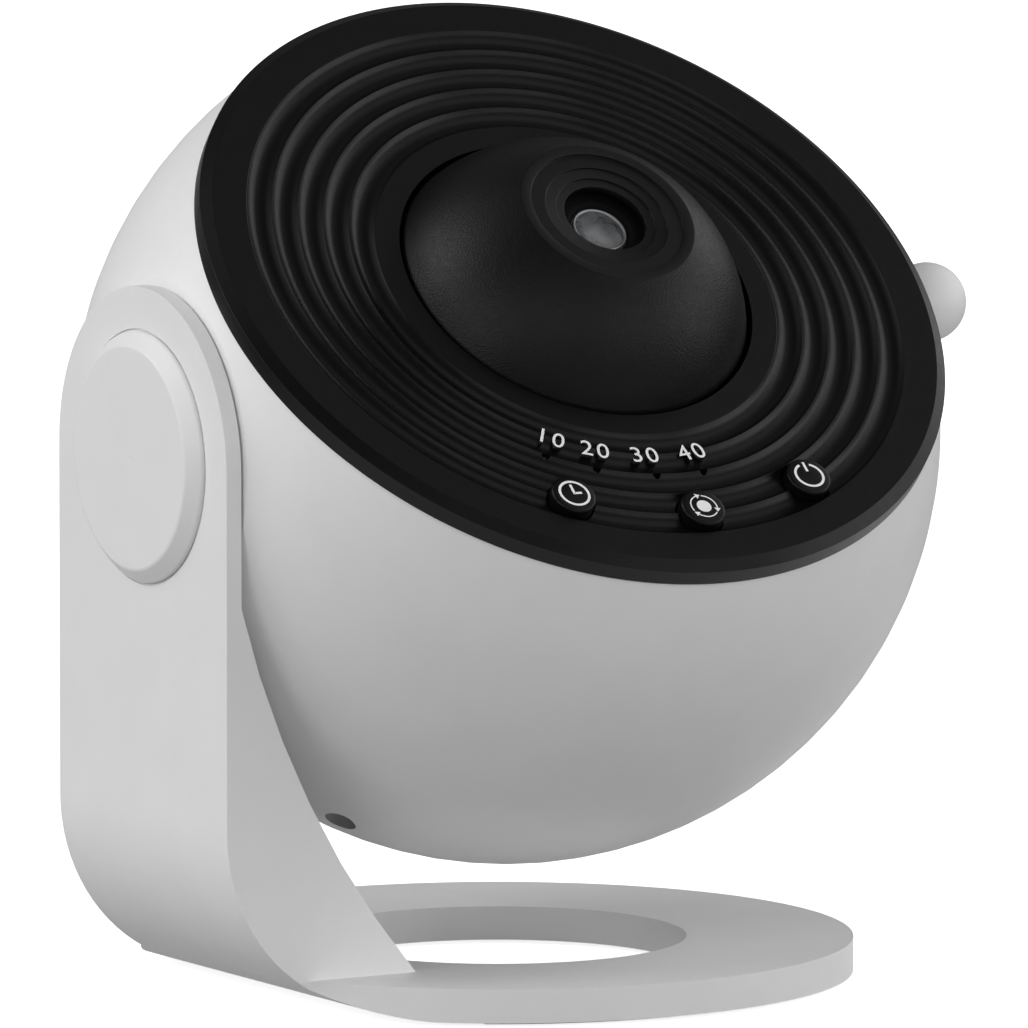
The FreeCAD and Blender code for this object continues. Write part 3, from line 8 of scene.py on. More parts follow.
import json
import logging
import math
from collections.abc import Callable, Iterable
from dataclasses import dataclass, field
from enum import Enum

import bmesh
import bpy
from mathutils import Matrix, Vector


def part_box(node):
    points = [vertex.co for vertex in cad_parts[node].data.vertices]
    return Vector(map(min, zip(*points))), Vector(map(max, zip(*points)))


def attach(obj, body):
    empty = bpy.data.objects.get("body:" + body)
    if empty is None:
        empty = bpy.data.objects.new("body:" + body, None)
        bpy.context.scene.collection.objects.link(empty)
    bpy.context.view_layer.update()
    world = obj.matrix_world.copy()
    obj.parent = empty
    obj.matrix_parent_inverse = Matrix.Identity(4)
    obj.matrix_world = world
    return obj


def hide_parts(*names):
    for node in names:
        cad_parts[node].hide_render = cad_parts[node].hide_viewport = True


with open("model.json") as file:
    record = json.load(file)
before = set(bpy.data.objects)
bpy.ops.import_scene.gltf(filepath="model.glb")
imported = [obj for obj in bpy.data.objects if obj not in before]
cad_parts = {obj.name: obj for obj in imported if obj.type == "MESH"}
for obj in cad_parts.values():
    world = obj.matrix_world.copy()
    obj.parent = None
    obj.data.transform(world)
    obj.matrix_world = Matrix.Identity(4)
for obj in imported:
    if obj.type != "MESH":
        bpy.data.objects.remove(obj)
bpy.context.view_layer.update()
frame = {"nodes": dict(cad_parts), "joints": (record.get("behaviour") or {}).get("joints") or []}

LOG = logging.getLogger("projector")
Piece = bpy.types.Object
Socket = bpy.types.NodeSocket
Tree = bpy.types.NodeTree
Inputs = dict[str | int, object]
Outline = list[tuple[float, ...]]
Spot = tuple[float, float]
Colour = tuple[float, float, float]

MM = 0.001  # a millimetre in metres
MERGE = 2e-6  # points nearer than this, in metres, are one
FULL_TURN = 2.0 * math.pi
ARC_STEP = math.radians(4.0)  # about the length of a drawn arc's steps
ARC_LEAST = 5  # the fewest steps of a drawn arc
CORNER_FLATS = 3  # the flats that round a drawn corner
PAST = 1.0  # how far a tool or a blank runs past the cut
NOISE_MIDDLE = (0.3, 0.7)  # where most of a noise's values lie
WHITE = (1.0, 1.0, 1.0, 1.0)

BALL_RADIUS = 65.0
FACE_SEAT = 28.7  # the height of the ball's mouth, where the face plate rests
KEY_CIRCLE = 47.64
KEY_SPREAD = 25.0


class Plane(Enum):
    """The plane that an outline is drawn in: its first axis, its second, and the way across."""

    XY = (Vector((1, 0, 0)), Vector((0, 1, 0)), Vector((0, 0, 1)))
    XZ = (Vector((1, 0, 0)), Vector((0, 0, 1)), Vector((0, 1, 0)))
    YZ = (Vector((0, 1, 0)), Vector((0, 0, 1)), Vector((1, 0, 0)))


class Cut(Enum):
    """How a tool shape changes the piece it is used on."""

    ADD = "UNION"
    TAKE = "DIFFERENCE"
    KEEP = "INTERSECT"


# ------------------------------------------------------------------ modelling by hand


def deselect() -> None:
    """Leave edit mode and select nothing."""
    if bpy.context.object and bpy.context.object.mode != "OBJECT":
        bpy.ops.object.mode_set(mode="OBJECT")
    bpy.ops.object.select_all(action="DESELECT")


def activate(piece: Piece) -> None:
    """Select one object alone and make it active."""
    deselect()
    piece.select_set(True)
    bpy.context.view_layer.objects.active = piece


def edit(piece: Piece) -> None:
    """Open an object in edit mode with everything in it selected."""
    activate(piece)
    bpy.ops.object.mode_set(mode="EDIT")
    bpy.ops.mesh.select_mode(type="VERT")
    bpy.ops.mesh.select_all(action="SELECT")


def pick_points(piece: Piece, test: Callable[[Vector], bool]) -> None:
    """Select, in edit mode, just the vertices whose place passes a test.

    Args:
        piece: The object in edit mode.
        test: Says of a place whether its vertex is wanted.
    """
    bpy.ops.mesh.select_all(action="DESELECT")
    mesh = bmesh.from_edit_mesh(piece.data)
    for vertex in mesh.verts:
        vertex.select_set(test(vertex.co))
    mesh.select_flush(True)
    bmesh.update_edit_mesh(piece.data)


def arc_between(start: Vector, stop: Vector, radius: float) -> list[Vector]:
    """Lay points on an arc of less than half a turn, without its two ends.

    Args:
        start: Where the arc leaves.
        stop: Where it arrives.
        radius: Its radius, positive where its centre lies left of the way.

    Returns:
        The points between the ends.
    """
    chord = stop - start
    rise = math.sqrt(max(radius * radius - (chord.length / 2) ** 2, 0.0))
    left = Vector((-chord.y, chord.x)).normalized()
    side = math.copysign(1.0, radius)
    centre = (start + stop) / 2 + left * (side * rise)
    spoke = start - centre
    sweep = 2 * math.asin(min(chord.length / (2 * abs(radius)), 1.0)) * side
    count = max(int(abs(sweep) / ARC_STEP), ARC_LEAST)
    return [centre + Matrix.Rotation(sweep * step / count, 2) @ spoke for step in range(1, count)]


def laid_out(outline: Outline, closed: bool) -> tuple[list[Vector], list[Vector]]:
    """Lay out an outline's straight runs and arcs as points.

    Args:
        outline: (first, second) or (first, second, radius) points. A radius makes the edge
            that leaves the point an arc, as arc_between draws it.
        closed: Whether the last point leads back to the first.

    Returns:
        All the points, and the outline's own corners, in millimetres.
    """
    corners = [Vector(point[:2]) for point in outline]
    points = []
    for index, point in enumerate(outline):
        points.append(corners[index])
        if index + 1 == len(outline) and not closed:
            break
        if len(point) == 3:
            points += arc_between(corners[index], corners[(index + 1) % len(outline)], point[2])
    return points, corners


def traced(name: str, outline: Outline, plane: Plane, rounding: float = 0.0, closed: bool = True) -> Piece:
    """Draw an outline as a wire, point by point, and round its corners.

    Args:
        name: The new object's name.
        outline: The outline's points, as laid_out takes them.
        plane: The plane it is drawn in.
        rounding: How far back from each corner its rounding starts; 0 leaves it sharp.
        closed: Whether the outline ends where it starts.

    Returns:
        The wire, open in edit mode with everything selected.
    """
    along, up, _ = plane.value
    flat_points, flat_corners = laid_out(outline, closed)
    places = [(along * point.x + up * point.y) * MM for point in flat_points]
    corners = [(along * point.x + up * point.y) * MM for point in flat_corners]
    deselect()
    bpy.ops.mesh.primitive_plane_add(size=MM, location=(0, 0, 0))
    wire = bpy.context.object
    wire.name = name
    edit(wire)
    bpy.ops.mesh.merge(type="CENTER")
    bpy.ops.transform.translate(value=places[0])
    here = places[0]
    for place in places[1:] + (places[:1] if closed else []):
        bpy.ops.mesh.extrude_vertices_move(TRANSFORM_OT_translate={"value": place - here})
        here = place
    bpy.ops.mesh.select_all(action="SELECT")
    bpy.ops.mesh.remove_doubles(threshold=MERGE)
    if rounding:
        rounded = [corner for corner in corners if abs(corner.x) > MERGE or plane is not Plane.XZ]
        pick_points(wire, lambda place: any((place - corner).length < MERGE * 2 for corner in rounded))
        bpy.ops.mesh.bevel(
            offset=rounding * MM, segments=CORNER_FLATS, affect="VERTICES", clamp_overlap=True
        )
        bpy.ops.mesh.select_all(action="SELECT")
    return wire


def spun(steps: int, angle: float = FULL_TURN, axis: tuple[int, int, int] = (0, 0, 1)) -> None:
    """Spin the wire that is open in edit mode about the origin, and merge its doubles.

    Args:
        steps: How many steps the turn takes.
        angle: The turn, in radians, clockwise as the axis points at the viewer.
        axis: The axis.
    """
    bpy.ops.mesh.spin(steps=steps, angle=angle, center=(0, 0, 0), axis=axis)
    bpy.ops.mesh.select_all(action="SELECT")
    bpy.ops.mesh.remove_doubles(threshold=MERGE)


def faced_out() -> None:
    """Point the faces of the mesh that is open in edit mode outwards, and leave edit mode."""
    bpy.ops.mesh.select_all(action="SELECT")
    bpy.ops.mesh.normals_make_consistent(inside=False)
    bpy.ops.object.mode_set(mode="OBJECT")


def turned(
    name: str, outline: Outline, rounding: float = 0.0, steps: int = 192, about_x: bool = False
) -> Piece:
    """Turn a closed outline a full turn, as on a lathe.

    Args:
        name: The new object's name.
        outline: (radius, height) points; about X, (distance along X, radius) points.
        rounding: The rounding of its corners.
        steps: How many steps the turn takes.
        about_x: Turns about X in place of Z.

    Returns:
        The turned piece, out of edit mode.
    """
    piece = traced(name, outline, Plane.XZ, rounding)
    spun(steps, axis=(1, 0, 0) if about_x else (0, 0, 1))
    faced_out()
    return piece


def pushed(
    name: str, outline: Outline, plane: Plane, low: float, high: float, rounding: float = 0.0
) -> Piece:
    """Fill a closed outline and push it out to a prism.

    Args:
        name: The new object's name.
        outline: The outline's points.
        plane: The plane it is drawn in.
        low: Where the prism starts, across the plane.
        high: Where it ends.
        rounding: The rounding of the outline's corners.

    Returns:
        The prism, out of edit mode.
    """
    across = plane.value[2]
    piece = traced(name, outline, plane, rounding)
    bpy.ops.mesh.edge_face_add()
    bpy.ops.transform.translate(value=across * (low * MM))
    bpy.ops.mesh.extrude_region_move(TRANSFORM_OT_translate={"value": across * ((high - low) * MM)})
    faced_out()
    return piece


def laid(piece: Piece, place: Matrix) -> Piece:
    """Move a piece from its own frame into another, with its place in its mesh."""
    activate(piece)
    piece.matrix_world = place
    bpy.ops.object.transform_apply(location=True, rotation=True, scale=True)
    return piece


def rod(name: str, radius: float, low: Vector, high: Vector, sides: int = 64) -> Piece:
    """Add a round bar between two points, as a tool to cut or build with.

    Args:
        name: The new object's name.
        radius: Its radius.
        low: The middle of one end.
        high: The middle of the other.
        sides: How many sides it has.

    Returns:
        The bar.
    """
    way = (high - low) * MM
    deselect()
    bpy.ops.mesh.primitive_cylinder_add(vertices=sides, radius=radius * MM, depth=way.length)
    bar = bpy.context.object
    bar.name = name
    turn = way.to_track_quat("Z", "Y").to_matrix().to_4x4()
    return laid(bar, Matrix.Translation((low + high) * (MM / 2)) @ turn)


def post(name: str, radius: float, spot: Spot, low: float, high: float, sides: int = 64) -> Piece:
    """A rod that stands upright at a spot, from one height to another."""
    return rod(name, radius, Vector((*spot, low)), Vector((*spot, high)), sides)


def apply_modifier(piece: Piece, kind: str, **settings: object) -> None:
    """Add a modifier, set it and apply it.

    Args:
        piece: The object.
        kind: The modifier's type.
        **settings: Its properties.
    """
    activate(piece)
    modifier = piece.modifiers.new(kind.lower(), kind)
    for prop, value in settings.items():
        setattr(modifier, prop, value)
    bpy.ops.object.modifier_apply(modifier=modifier.name)


def joined(pieces: list[Piece]) -> Piece:
    """Join objects into the first of them."""
    activate(pieces[0])
    for piece in pieces:
        piece.select_set(True)
    bpy.ops.object.join()
    return pieces[0]


def combine(piece: Piece, tool: Piece, cut: Cut) -> Piece:
    """Use one solid on another and throw the tool away.

    Args:
        piece: The solid that is changed.
        tool: The solid it is changed with.
        cut: Add it, take it away or keep what both share.

    Returns:
        The changed piece.
    """
    apply_modifier(piece, "BOOLEAN", object=tool, operation=cut.value, solver="EXACT")
    bpy.data.objects.remove(tool)
    return piece


def bevelled(piece: Piece, width: float, segments: int = 3, angle: float = 35.0) -> Piece:
    """Round every edge that is sharper than an angle.

    Args:
        piece: The solid.
        width: The width of the rounding.
        segments: How many flats it has.
        angle: The least angle between two faces that is rounded.

    Returns:
        The same piece.
    """
    limit = {"limit_method": "ANGLE", "angle_limit": math.radians(angle)}
    apply_modifier(piece, "BEVEL", width=width * MM, segments=segments, **limit)
    return piece


def smoothed(piece: Piece, angle: float = 40.0) -> Piece:
    """Shade a piece smooth across its shallow edges, led by its larger faces."""
    activate(piece)
    bpy.ops.object.shade_smooth_by_angle(angle=math.radians(angle))
    apply_modifier(piece, "WEIGHTED_NORMAL", keep_sharp=True, weight=100)
    return piece


def around(radius: float, azimuth: float) -> Spot:
    """The place on the face at a radius, in degrees from its lowest point towards +X."""
    angle = math.radians(azimuth)
    return radius * math.sin(angle), -radius * math.cos(angle)


def ray(angle: float) -> Vector:
    """The flat direction at an angle from the first axis."""
    turn = math.radians(angle)
    return Vector((math.cos(turn), math.sin(turn)))


def leg(long_side: float, short_side: float) -> float:
    """The other short side of a right triangle."""
    return math.sqrt(long_side * long_side - short_side * short_side)


def joint(name: str) -> dict:
    """A joint of the frame, by name."""
    return next(entry for entry in frame["joints"] if entry["name"] == name)


PIVOT = Vector(joint("head_tilt")["pos_m"])
FACE_NORMAL = Vector(joint("dome_lift")["axis"])
HEAD = Matrix.Translation(PIVOT) @ Matrix.Rotation(math.atan2(-FACE_NORMAL.y, FACE_NORMAL.z), 4, "X")


def on_head(piece: Piece, angle: float = 40.0) -> Piece:
    """Lay a piece over the frame's head and shade it smooth."""
    return smoothed(laid(piece, HEAD), angle)


# ------------------------------------------------------------------ finishes


def wired(tree: Tree, kind: str, inputs: Inputs | None = None, **settings: object) -> bpy.types.Node:
    """Add a node to a tree, set it, and feed its inputs.

    Args:
        tree: The tree.
        kind: The node's type, without its ShaderNode prefix.
        inputs: Values, or sockets to link from, by input name or place.
        **settings: The node's own properties.

    Returns:
        The node.
    """
    node = tree.nodes.new("ShaderNode" + kind)
    for prop, value in settings.items():
        setattr(node, prop, value)
    for name, value in (inputs or {}).items():
        if isinstance(value, Socket):
            tree.links.new(value, node.inputs[name])
        else:
            node.inputs[name].default_value = value
    return node


def reckoned(tree: Tree, operation: str, first: Socket, second: Socket | float) -> Socket:
    """A number that a Math node works out from two others."""
    return wired(tree, "Math", {0: first, 1: second}, operation=operation).outputs["Value"]


def mixed(tree: Tree, share: Socket, first: Socket, second: Socket) -> Socket:
    """A mix of two shaders, with a share of the second."""
    return wired(tree, "MixShader", {0: share, 1: first, 2: second}).outputs["Shader"]


class Nodes:
    """A material's node tree, laid out by name."""

    def __init__(self, material: bpy.types.Material) -> None:
        """Start from a plain surface shader.

        Args:
            material: The new material.
        """
        material.use_nodes = True
        self.tree = material.node_tree
        self.shader = self.tree.nodes["Principled BSDF"]
        self.coordinates = self.add("TexCoord").outputs["Object"]

    def add(self, kind: str, inputs: Inputs | None = None, **settings: object) -> bpy.types.Node:
        """Add a node, as wired does."""
        return wired(self.tree, kind, inputs, **settings)

    def noise(self, size: float, detail: float = 2.0, source: Socket | None = None) -> Socket:
        """A noise whose lumps are about a size across.

        Args:
            size: The lumps' size.
            detail: How many finer layers it has.
            source: The coordinates it reads; the piece's own by default.

        Returns:
            Its value.
        """
        vector = source or self.coordinates
        node = self.add("TexNoise", {"Vector": vector, "Scale": 1 / (size * MM), "Detail": detail})
        return node.outputs["Fac"]

    def cells(self, size: float, inputs: Inputs | None = None, **settings: object) -> Socket:
        """The distance to the middle of the nearest of many cells of a size, as a share of it."""
        place = {"Vector": self.coordinates, "Scale": 1 / (size * MM)}
        return self.add("TexVoronoi", place | (inputs or {}), **settings).outputs["Distance"]

    def between(self, value: Socket, low: float, high: float) -> Socket:
        """Spread a noise's middle range over two numbers.

        Args:
            value: The noise.
            low: What its low side gives.
            high: What its high side gives.

        Returns:
            The number.
        """
        start, stop = NOISE_MIDDLE
        spread = {"Value": value, "From Min": start, "From Max": stop, "To Min": low, "To Max": high}
        return self.add("MapRange", spread).outputs["Result"]

    def ramp(self, value: Socket, stops: list[tuple[float, Colour]]) -> Socket:
        """Turn a number into a colour.

        Args:
            value: The number.
            stops: Places and colours along the ramp, in order.

        Returns:
            The colour.
        """
        node = self.add("ValToRGB", {"Fac": value})
        elements = node.color_ramp.elements
        for element, (place, colour) in zip(elements, stops, strict=True):
            element.position = place
            element.color = (*colour, 1.0)
        return node.outputs["Color"]

    def tint(self, value: Socket, colour: Colour, darker: float, lighter: float) -> Socket:
        """A colour times a factor on a noise's low side and another on its high side."""
        low, high = NOISE_MIDDLE
        return self.ramp(value, [(low, shade(colour, darker)), (high, shade(colour, lighter))])

    def outside(self, radius: float) -> Socket:
        """One beyond a radius about the projection axis, and nought within it."""
        arm = self.add("VectorMath", {0: self.coordinates, 1: PIVOT}, operation="SUBTRACT")
        turn = self.add("VectorMath", {0: arm.outputs["Vector"], 1: FACE_NORMAL}, operation="CROSS_PRODUCT")
        reach = self.add("VectorMath", {0: turn.outputs["Vector"]}, operation="LENGTH")
        return reckoned(self.tree, "GREATER_THAN", reach.outputs["Value"], radius * MM)

    def bump(self, height: Socket, depth: float) -> Socket:
        """The normal of a surface that is raised by a height from 0 to 1, where 1 is a depth."""
        return self.add("Bump", {"Height": height, "Distance": depth * MM, "Strength": 1.0}).outputs["Normal"]

    def feed(self, **sockets: Socket) -> None:
        """Link the shader's inputs, named with underscores for spaces."""
        for name, socket in sockets.items():
            self.tree.links.new(socket, self.shader.inputs[name.replace("_", " ")])

    def hold(self, **values: object) -> None:
        """Set the shader's inputs, named with underscores for spaces."""
        for name, value in values.items():
            self.shader.inputs[name.replace("_", " ")].default_value = value


def shade(colour: Colour, factor: float) -> Colour:
    """A colour made darker or lighter."""
    return tuple(min(part * factor, 1.0) for part in colour)


def screen(level: float) -> Colour:
    """The linear grey that shows as a level from 0 to 255."""
    part = level / 255
    linear = part / 12.92 if part <= 0.04045 else ((part + 0.055) / 1.055) ** 2.4
    return linear, linear, linear


@dataclass(frozen=True)
class Finish:
    """A surface finish. Each kind lays out its own nodes."""

    name: str

    def lay_out(self, nodes: Nodes) -> None:
        """Build the finish's nodes in a material's node tree."""
        raise NotImplementedError

    def material(self) -> bpy.types.Material:
        """The finish's material, laid out when it is first asked for."""
        label = f"{self.name}_look"
        material = bpy.data.materials.get(label)
        if material is None:
            material = bpy.data.materials.new(label)
            self.lay_out(Nodes(material))
        return material

    def put_on(self, piece: Piece) -> None:
        """Give a piece this finish alone."""
        piece.data.materials.clear()
        piece.data.materials.append(self.material())

    def put_beside(self, piece: Piece, test: Callable[[Vector], bool]) -> None:
        """Give this finish to some of a piece's faces, beside the one it has.

        Args:
            piece: The piece.
            test: Says of a face's middle whether it gets this finish.
        """
        piece.data.materials.append(self.material())
        for face in piece.data.polygons:
            if test(face.center):
                face.material_index = len(piece.data.materials) - 1


@dataclass(frozen=True)
class Moulded(Finish):
    """Moulded plastic or rubber with a spark-eroded grain."""

    colour: Colour
    roughness: float = 0.5
    shine: float = 0.5
    grain: float = 0.3
    depth: float = 0.01
    mottle: float = 0.03
    bare_radius: float = 0.0
    cloud: float = 9.0
    gloss_patch: float = 4.0
    gloss_play: float = 0.04

    def lay_out(self, nodes: Nodes) -> None:
        """Cloud the colour a little, and grain the surface, but not right round the lens's axis."""
        tint = nodes.tint(nodes.noise(self.cloud, 3.0), self.colour, 1 - self.mottle, 1 + self.mottle)
        patches = nodes.noise(self.grain * self.gloss_patch)
        gloss = nodes.between(patches, self.roughness - self.gloss_play, self.roughness + self.gloss_play)
        relief = nodes.noise(self.grain, 1.0)
        if self.bare_radius:
            relief = reckoned(nodes.tree, "MULTIPLY", relief, nodes.outside(self.bare_radius))
        nodes.feed(Base_Color=tint, Roughness=gloss, Normal=nodes.bump(relief, self.depth))
        nodes.hold(Specular_IOR_Level=self.shine)


@dataclass(frozen=True)
class Metal(Finish):
    """Plain or turned metal."""

    colour: Colour
    roughness: float = 0.35
    gloss_play: float = 0.08
    scratch: float = 0.15
    scratch_group: float = 6.0
    scratch_stretch: float = 14.0
    scratch_depth: float = 0.003
    tint_play: tuple[float, float] = (0.9, 1.05)

    def lay_out(self, nodes: Nodes) -> None:
        """Vary the gloss along fine scratches."""
        squeeze = (1.0, 1.0, self.scratch_stretch)
        along = nodes.add("Mapping", {"Vector": nodes.coordinates, "Scale": squeeze}).outputs["Vector"]
        lines = nodes.noise(self.scratch * self.scratch_group, 3.0, along)
        gloss = nodes.between(lines, self.roughness - self.gloss_play, self.roughness + self.gloss_play)
        relief = nodes.bump(nodes.noise(self.scratch, 2.0, along), self.scratch_depth)
        tint = nodes.tint(lines, self.colour, *self.tint_play)
        nodes.feed(Base_Color=tint, Roughness=gloss, Normal=relief)
        nodes.hold(Metallic=1.0)


@dataclass(frozen=True)
class Glass(Finish):
    """Clear glass or acrylic with the faintest haze."""

    colour: Colour
    index: float = 1.52
    haze: float = 0.03
    patch: float = 2.5
    tint_play: tuple[float, float] = (0.97, 1.0)

    def lay_out(self, nodes: Nodes) -> None:
        """Let light through, with a little unevenness in the polish."""
        patches = nodes.noise(self.patch, 2.0)
        haze = nodes.between(patches, self.haze / 2, self.haze)
        nodes.feed(Base_Color=nodes.tint(patches, self.colour, *self.tint_play), Roughness=haze)
        nodes.hold(Transmission_Weight=1.0, IOR=self.index)


@dataclass(frozen=True)
class Board(Finish):
    """A printed circuit board with tracks under its lacquer."""

    colour: Colour
    track: Colour
    cell: float = 2.2
    disorder: float = 0.6
    track_edge: tuple[float, float] = (0.42, 0.46)
    track_depth: float = 0.03
    gloss_patch: float = 0.6
    roughness: tuple[float, float] = (0.25, 0.4)

    def lay_out(self, nodes: Nodes) -> None:
        """Draw straight tracks as the edges of blocky cells."""
        cells = nodes.cells(self.cell, {"Randomness": self.disorder}, feature="F1", distance="CHEBYCHEV")
        bare, covered = self.track_edge
        tint = nodes.ramp(cells, [(bare, self.colour), (covered, self.track)])
        gloss = nodes.between(nodes.noise(self.gloss_patch), *self.roughness)
        nodes.feed(Base_Color=tint, Roughness=gloss, Normal=nodes.bump(cells, self.track_depth))


@dataclass(frozen=True)
class StarFilm(Finish):
    """Black film with clear stars of many sizes and a hazy band."""

    night: Colour = (0.004, 0.005, 0.012)
    band: Colour = (0.03, 0.035, 0.07)
    band_edge: tuple[float, float] = (0.45, 0.75)
    band_size: float = 7.0
    band_detail: float = 6.0
    stars: tuple[tuple[float, float], ...] = ((1.6, 0.07), (0.6, 0.09))  # spacing, radius as its share
    star_rim: float = 1.6
    gloss_patch: float = 3.0
    roughness: tuple[float, float] = (0.12, 0.2)

    def lay_out(self, nodes: Nodes) -> None:
        """Scatter two sizes of star over a cloudy ground."""
        dark, hazy = self.band_edge
        clouds = nodes.noise(self.band_size, self.band_detail)
        layer = nodes.ramp(clouds, [(dark, self.night), (hazy, self.band)])
        for spacing, radius in self.stars:
            rim = (radius * self.star_rim, (0, 0, 0))
            star = nodes.ramp(nodes.cells(spacing), [(radius, (1, 1, 1)), rim])
            mix = nodes.add("Mix", data_type="RGBA", blend_type="ADD")
            mix.inputs["Factor"].default_value = 1.0
            nodes.tree.links.new(layer, mix.inputs["A"])
            nodes.tree.links.new(star, mix.inputs["B"])
            layer = mix.outputs["Result"]
        gloss = nodes.between(nodes.noise(self.gloss_patch), *self.roughness)
        nodes.feed(Base_Color=layer, Roughness=gloss)


WHITE_SHELL = Moulded(
    "white_shell", (0.86, 0.86, 0.86), roughness=0.5, grain=0.35, depth=0.006, mottle=0.012
)
# painted shade: a dark grey laid on the white shell's walls inside the screw wells, standing in for the shade
# deep in these holes
PAINTED_WELL_SHADE = Moulded("painted_well_shade", (0.22, 0.22, 0.22), roughness=0.6, grain=0.35, depth=0.006)
BLACK_FACE = Moulded(
    "black_face", screen(7), roughness=0.32, shine=0.18, grain=0.22, depth=0.003, mottle=0.05
)
BLACK_DOME = Moulded(
    "black_dome", screen(7), roughness=0.40, shine=0.2, grain=0.25, depth=0.065, mottle=0.1, bare_radius=13.9
)
BLACK_KEY = Moulded(
    "black_key", screen(7), roughness=0.36, shine=0.16, grain=0.25, depth=0.006, mottle=0.05
)
BLACK_WELL = Moulded("black_well", screen(4), roughness=0.75, shine=0.12, grain=0.3, depth=0.01)
WHITE_INK = Moulded("white_ink", (0.95, 0.95, 0.95), roughness=0.55, grain=0.15, depth=0.003, mottle=0.02)
FOOT_RUBBER = Moulded("foot_rubber", (0.02, 0.02, 0.02), roughness=0.8, shine=0.3, grain=0.4, depth=0.03)
INNER_PLASTIC = Moulded("inner_plastic", (0.025, 0.025, 0.027), roughness=0.55, grain=0.35, depth=0.015)
ACETAL = Moulded("acetal", (0.74, 0.72, 0.66), roughness=0.38, grain=0.6, depth=0.006, mottle=0.03)
SLIDE_WASHER = Moulded("slide_washer", (0.70, 0.70, 0.68), roughness=0.3, grain=0.5, depth=0.004)
COMPONENT = Moulded("component", (0.03, 0.03, 0.03), roughness=0.45, grain=0.2, depth=0.01)
PHOSPHOR = Moulded("phosphor", (0.86, 0.66, 0.14), roughness=0.35, grain=0.12, depth=0.01, mottle=0.08)
STEEL = Metal("steel", (0.56, 0.57, 0.58))
SPRING_STEEL = Metal("spring_steel", (0.35, 0.36, 0.38), roughness=0.4)
BRONZE = Metal("bronze", (0.52, 0.33, 0.15), roughness=0.45)
SINK_ALLOY = Metal("sink_alloy", (0.09, 0.09, 0.10), roughness=0.5)
BEZEL = Metal("bezel", (0.34, 0.34, 0.35), roughness=0.38)
OPTIC_GLASS = Glass("optic_glass", (0.74, 0.77, 0.80), index=1.75, haze=0.3)
CLEAR_PLASTIC = Glass("clear_plastic", (0.90, 0.90, 0.90), index=1.49, haze=0.12)
SMOKED_PLASTIC = Glass("smoked_plastic", (0.012, 0.012, 0.013), index=1.49, haze=0.25)
GREEN_BOARD = Board("green_board", (0.012, 0.10, 0.045), (0.03, 0.19, 0.08))
WHITE_BOARD = Board("white_board", (0.74, 0.75, 0.72), (0.62, 0.64, 0.62))
STAR_FILM = StarFilm("star_film_print")


def fitted(piece: Piece, finish: Finish, body: str, replaces: Iterable[str] = ()) -> Piece:
    """Dress a finished piece and let it ride on its body.

    Args:
        piece: The piece, in place.
        finish: Its finish.
        body: The frame's body that carries it.
        replaces: The frame's nodes that it takes the place of.

    Returns:
        The same piece.
    """
    finish.put_on(piece)
    if replaces:
        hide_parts(*replaces)
    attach(piece, body)
    LOG.info("%s: %d faces on %s", piece.name, len(piece.data.polygons), body)
    return piece


# ------------------------------------------------------------------ the stand


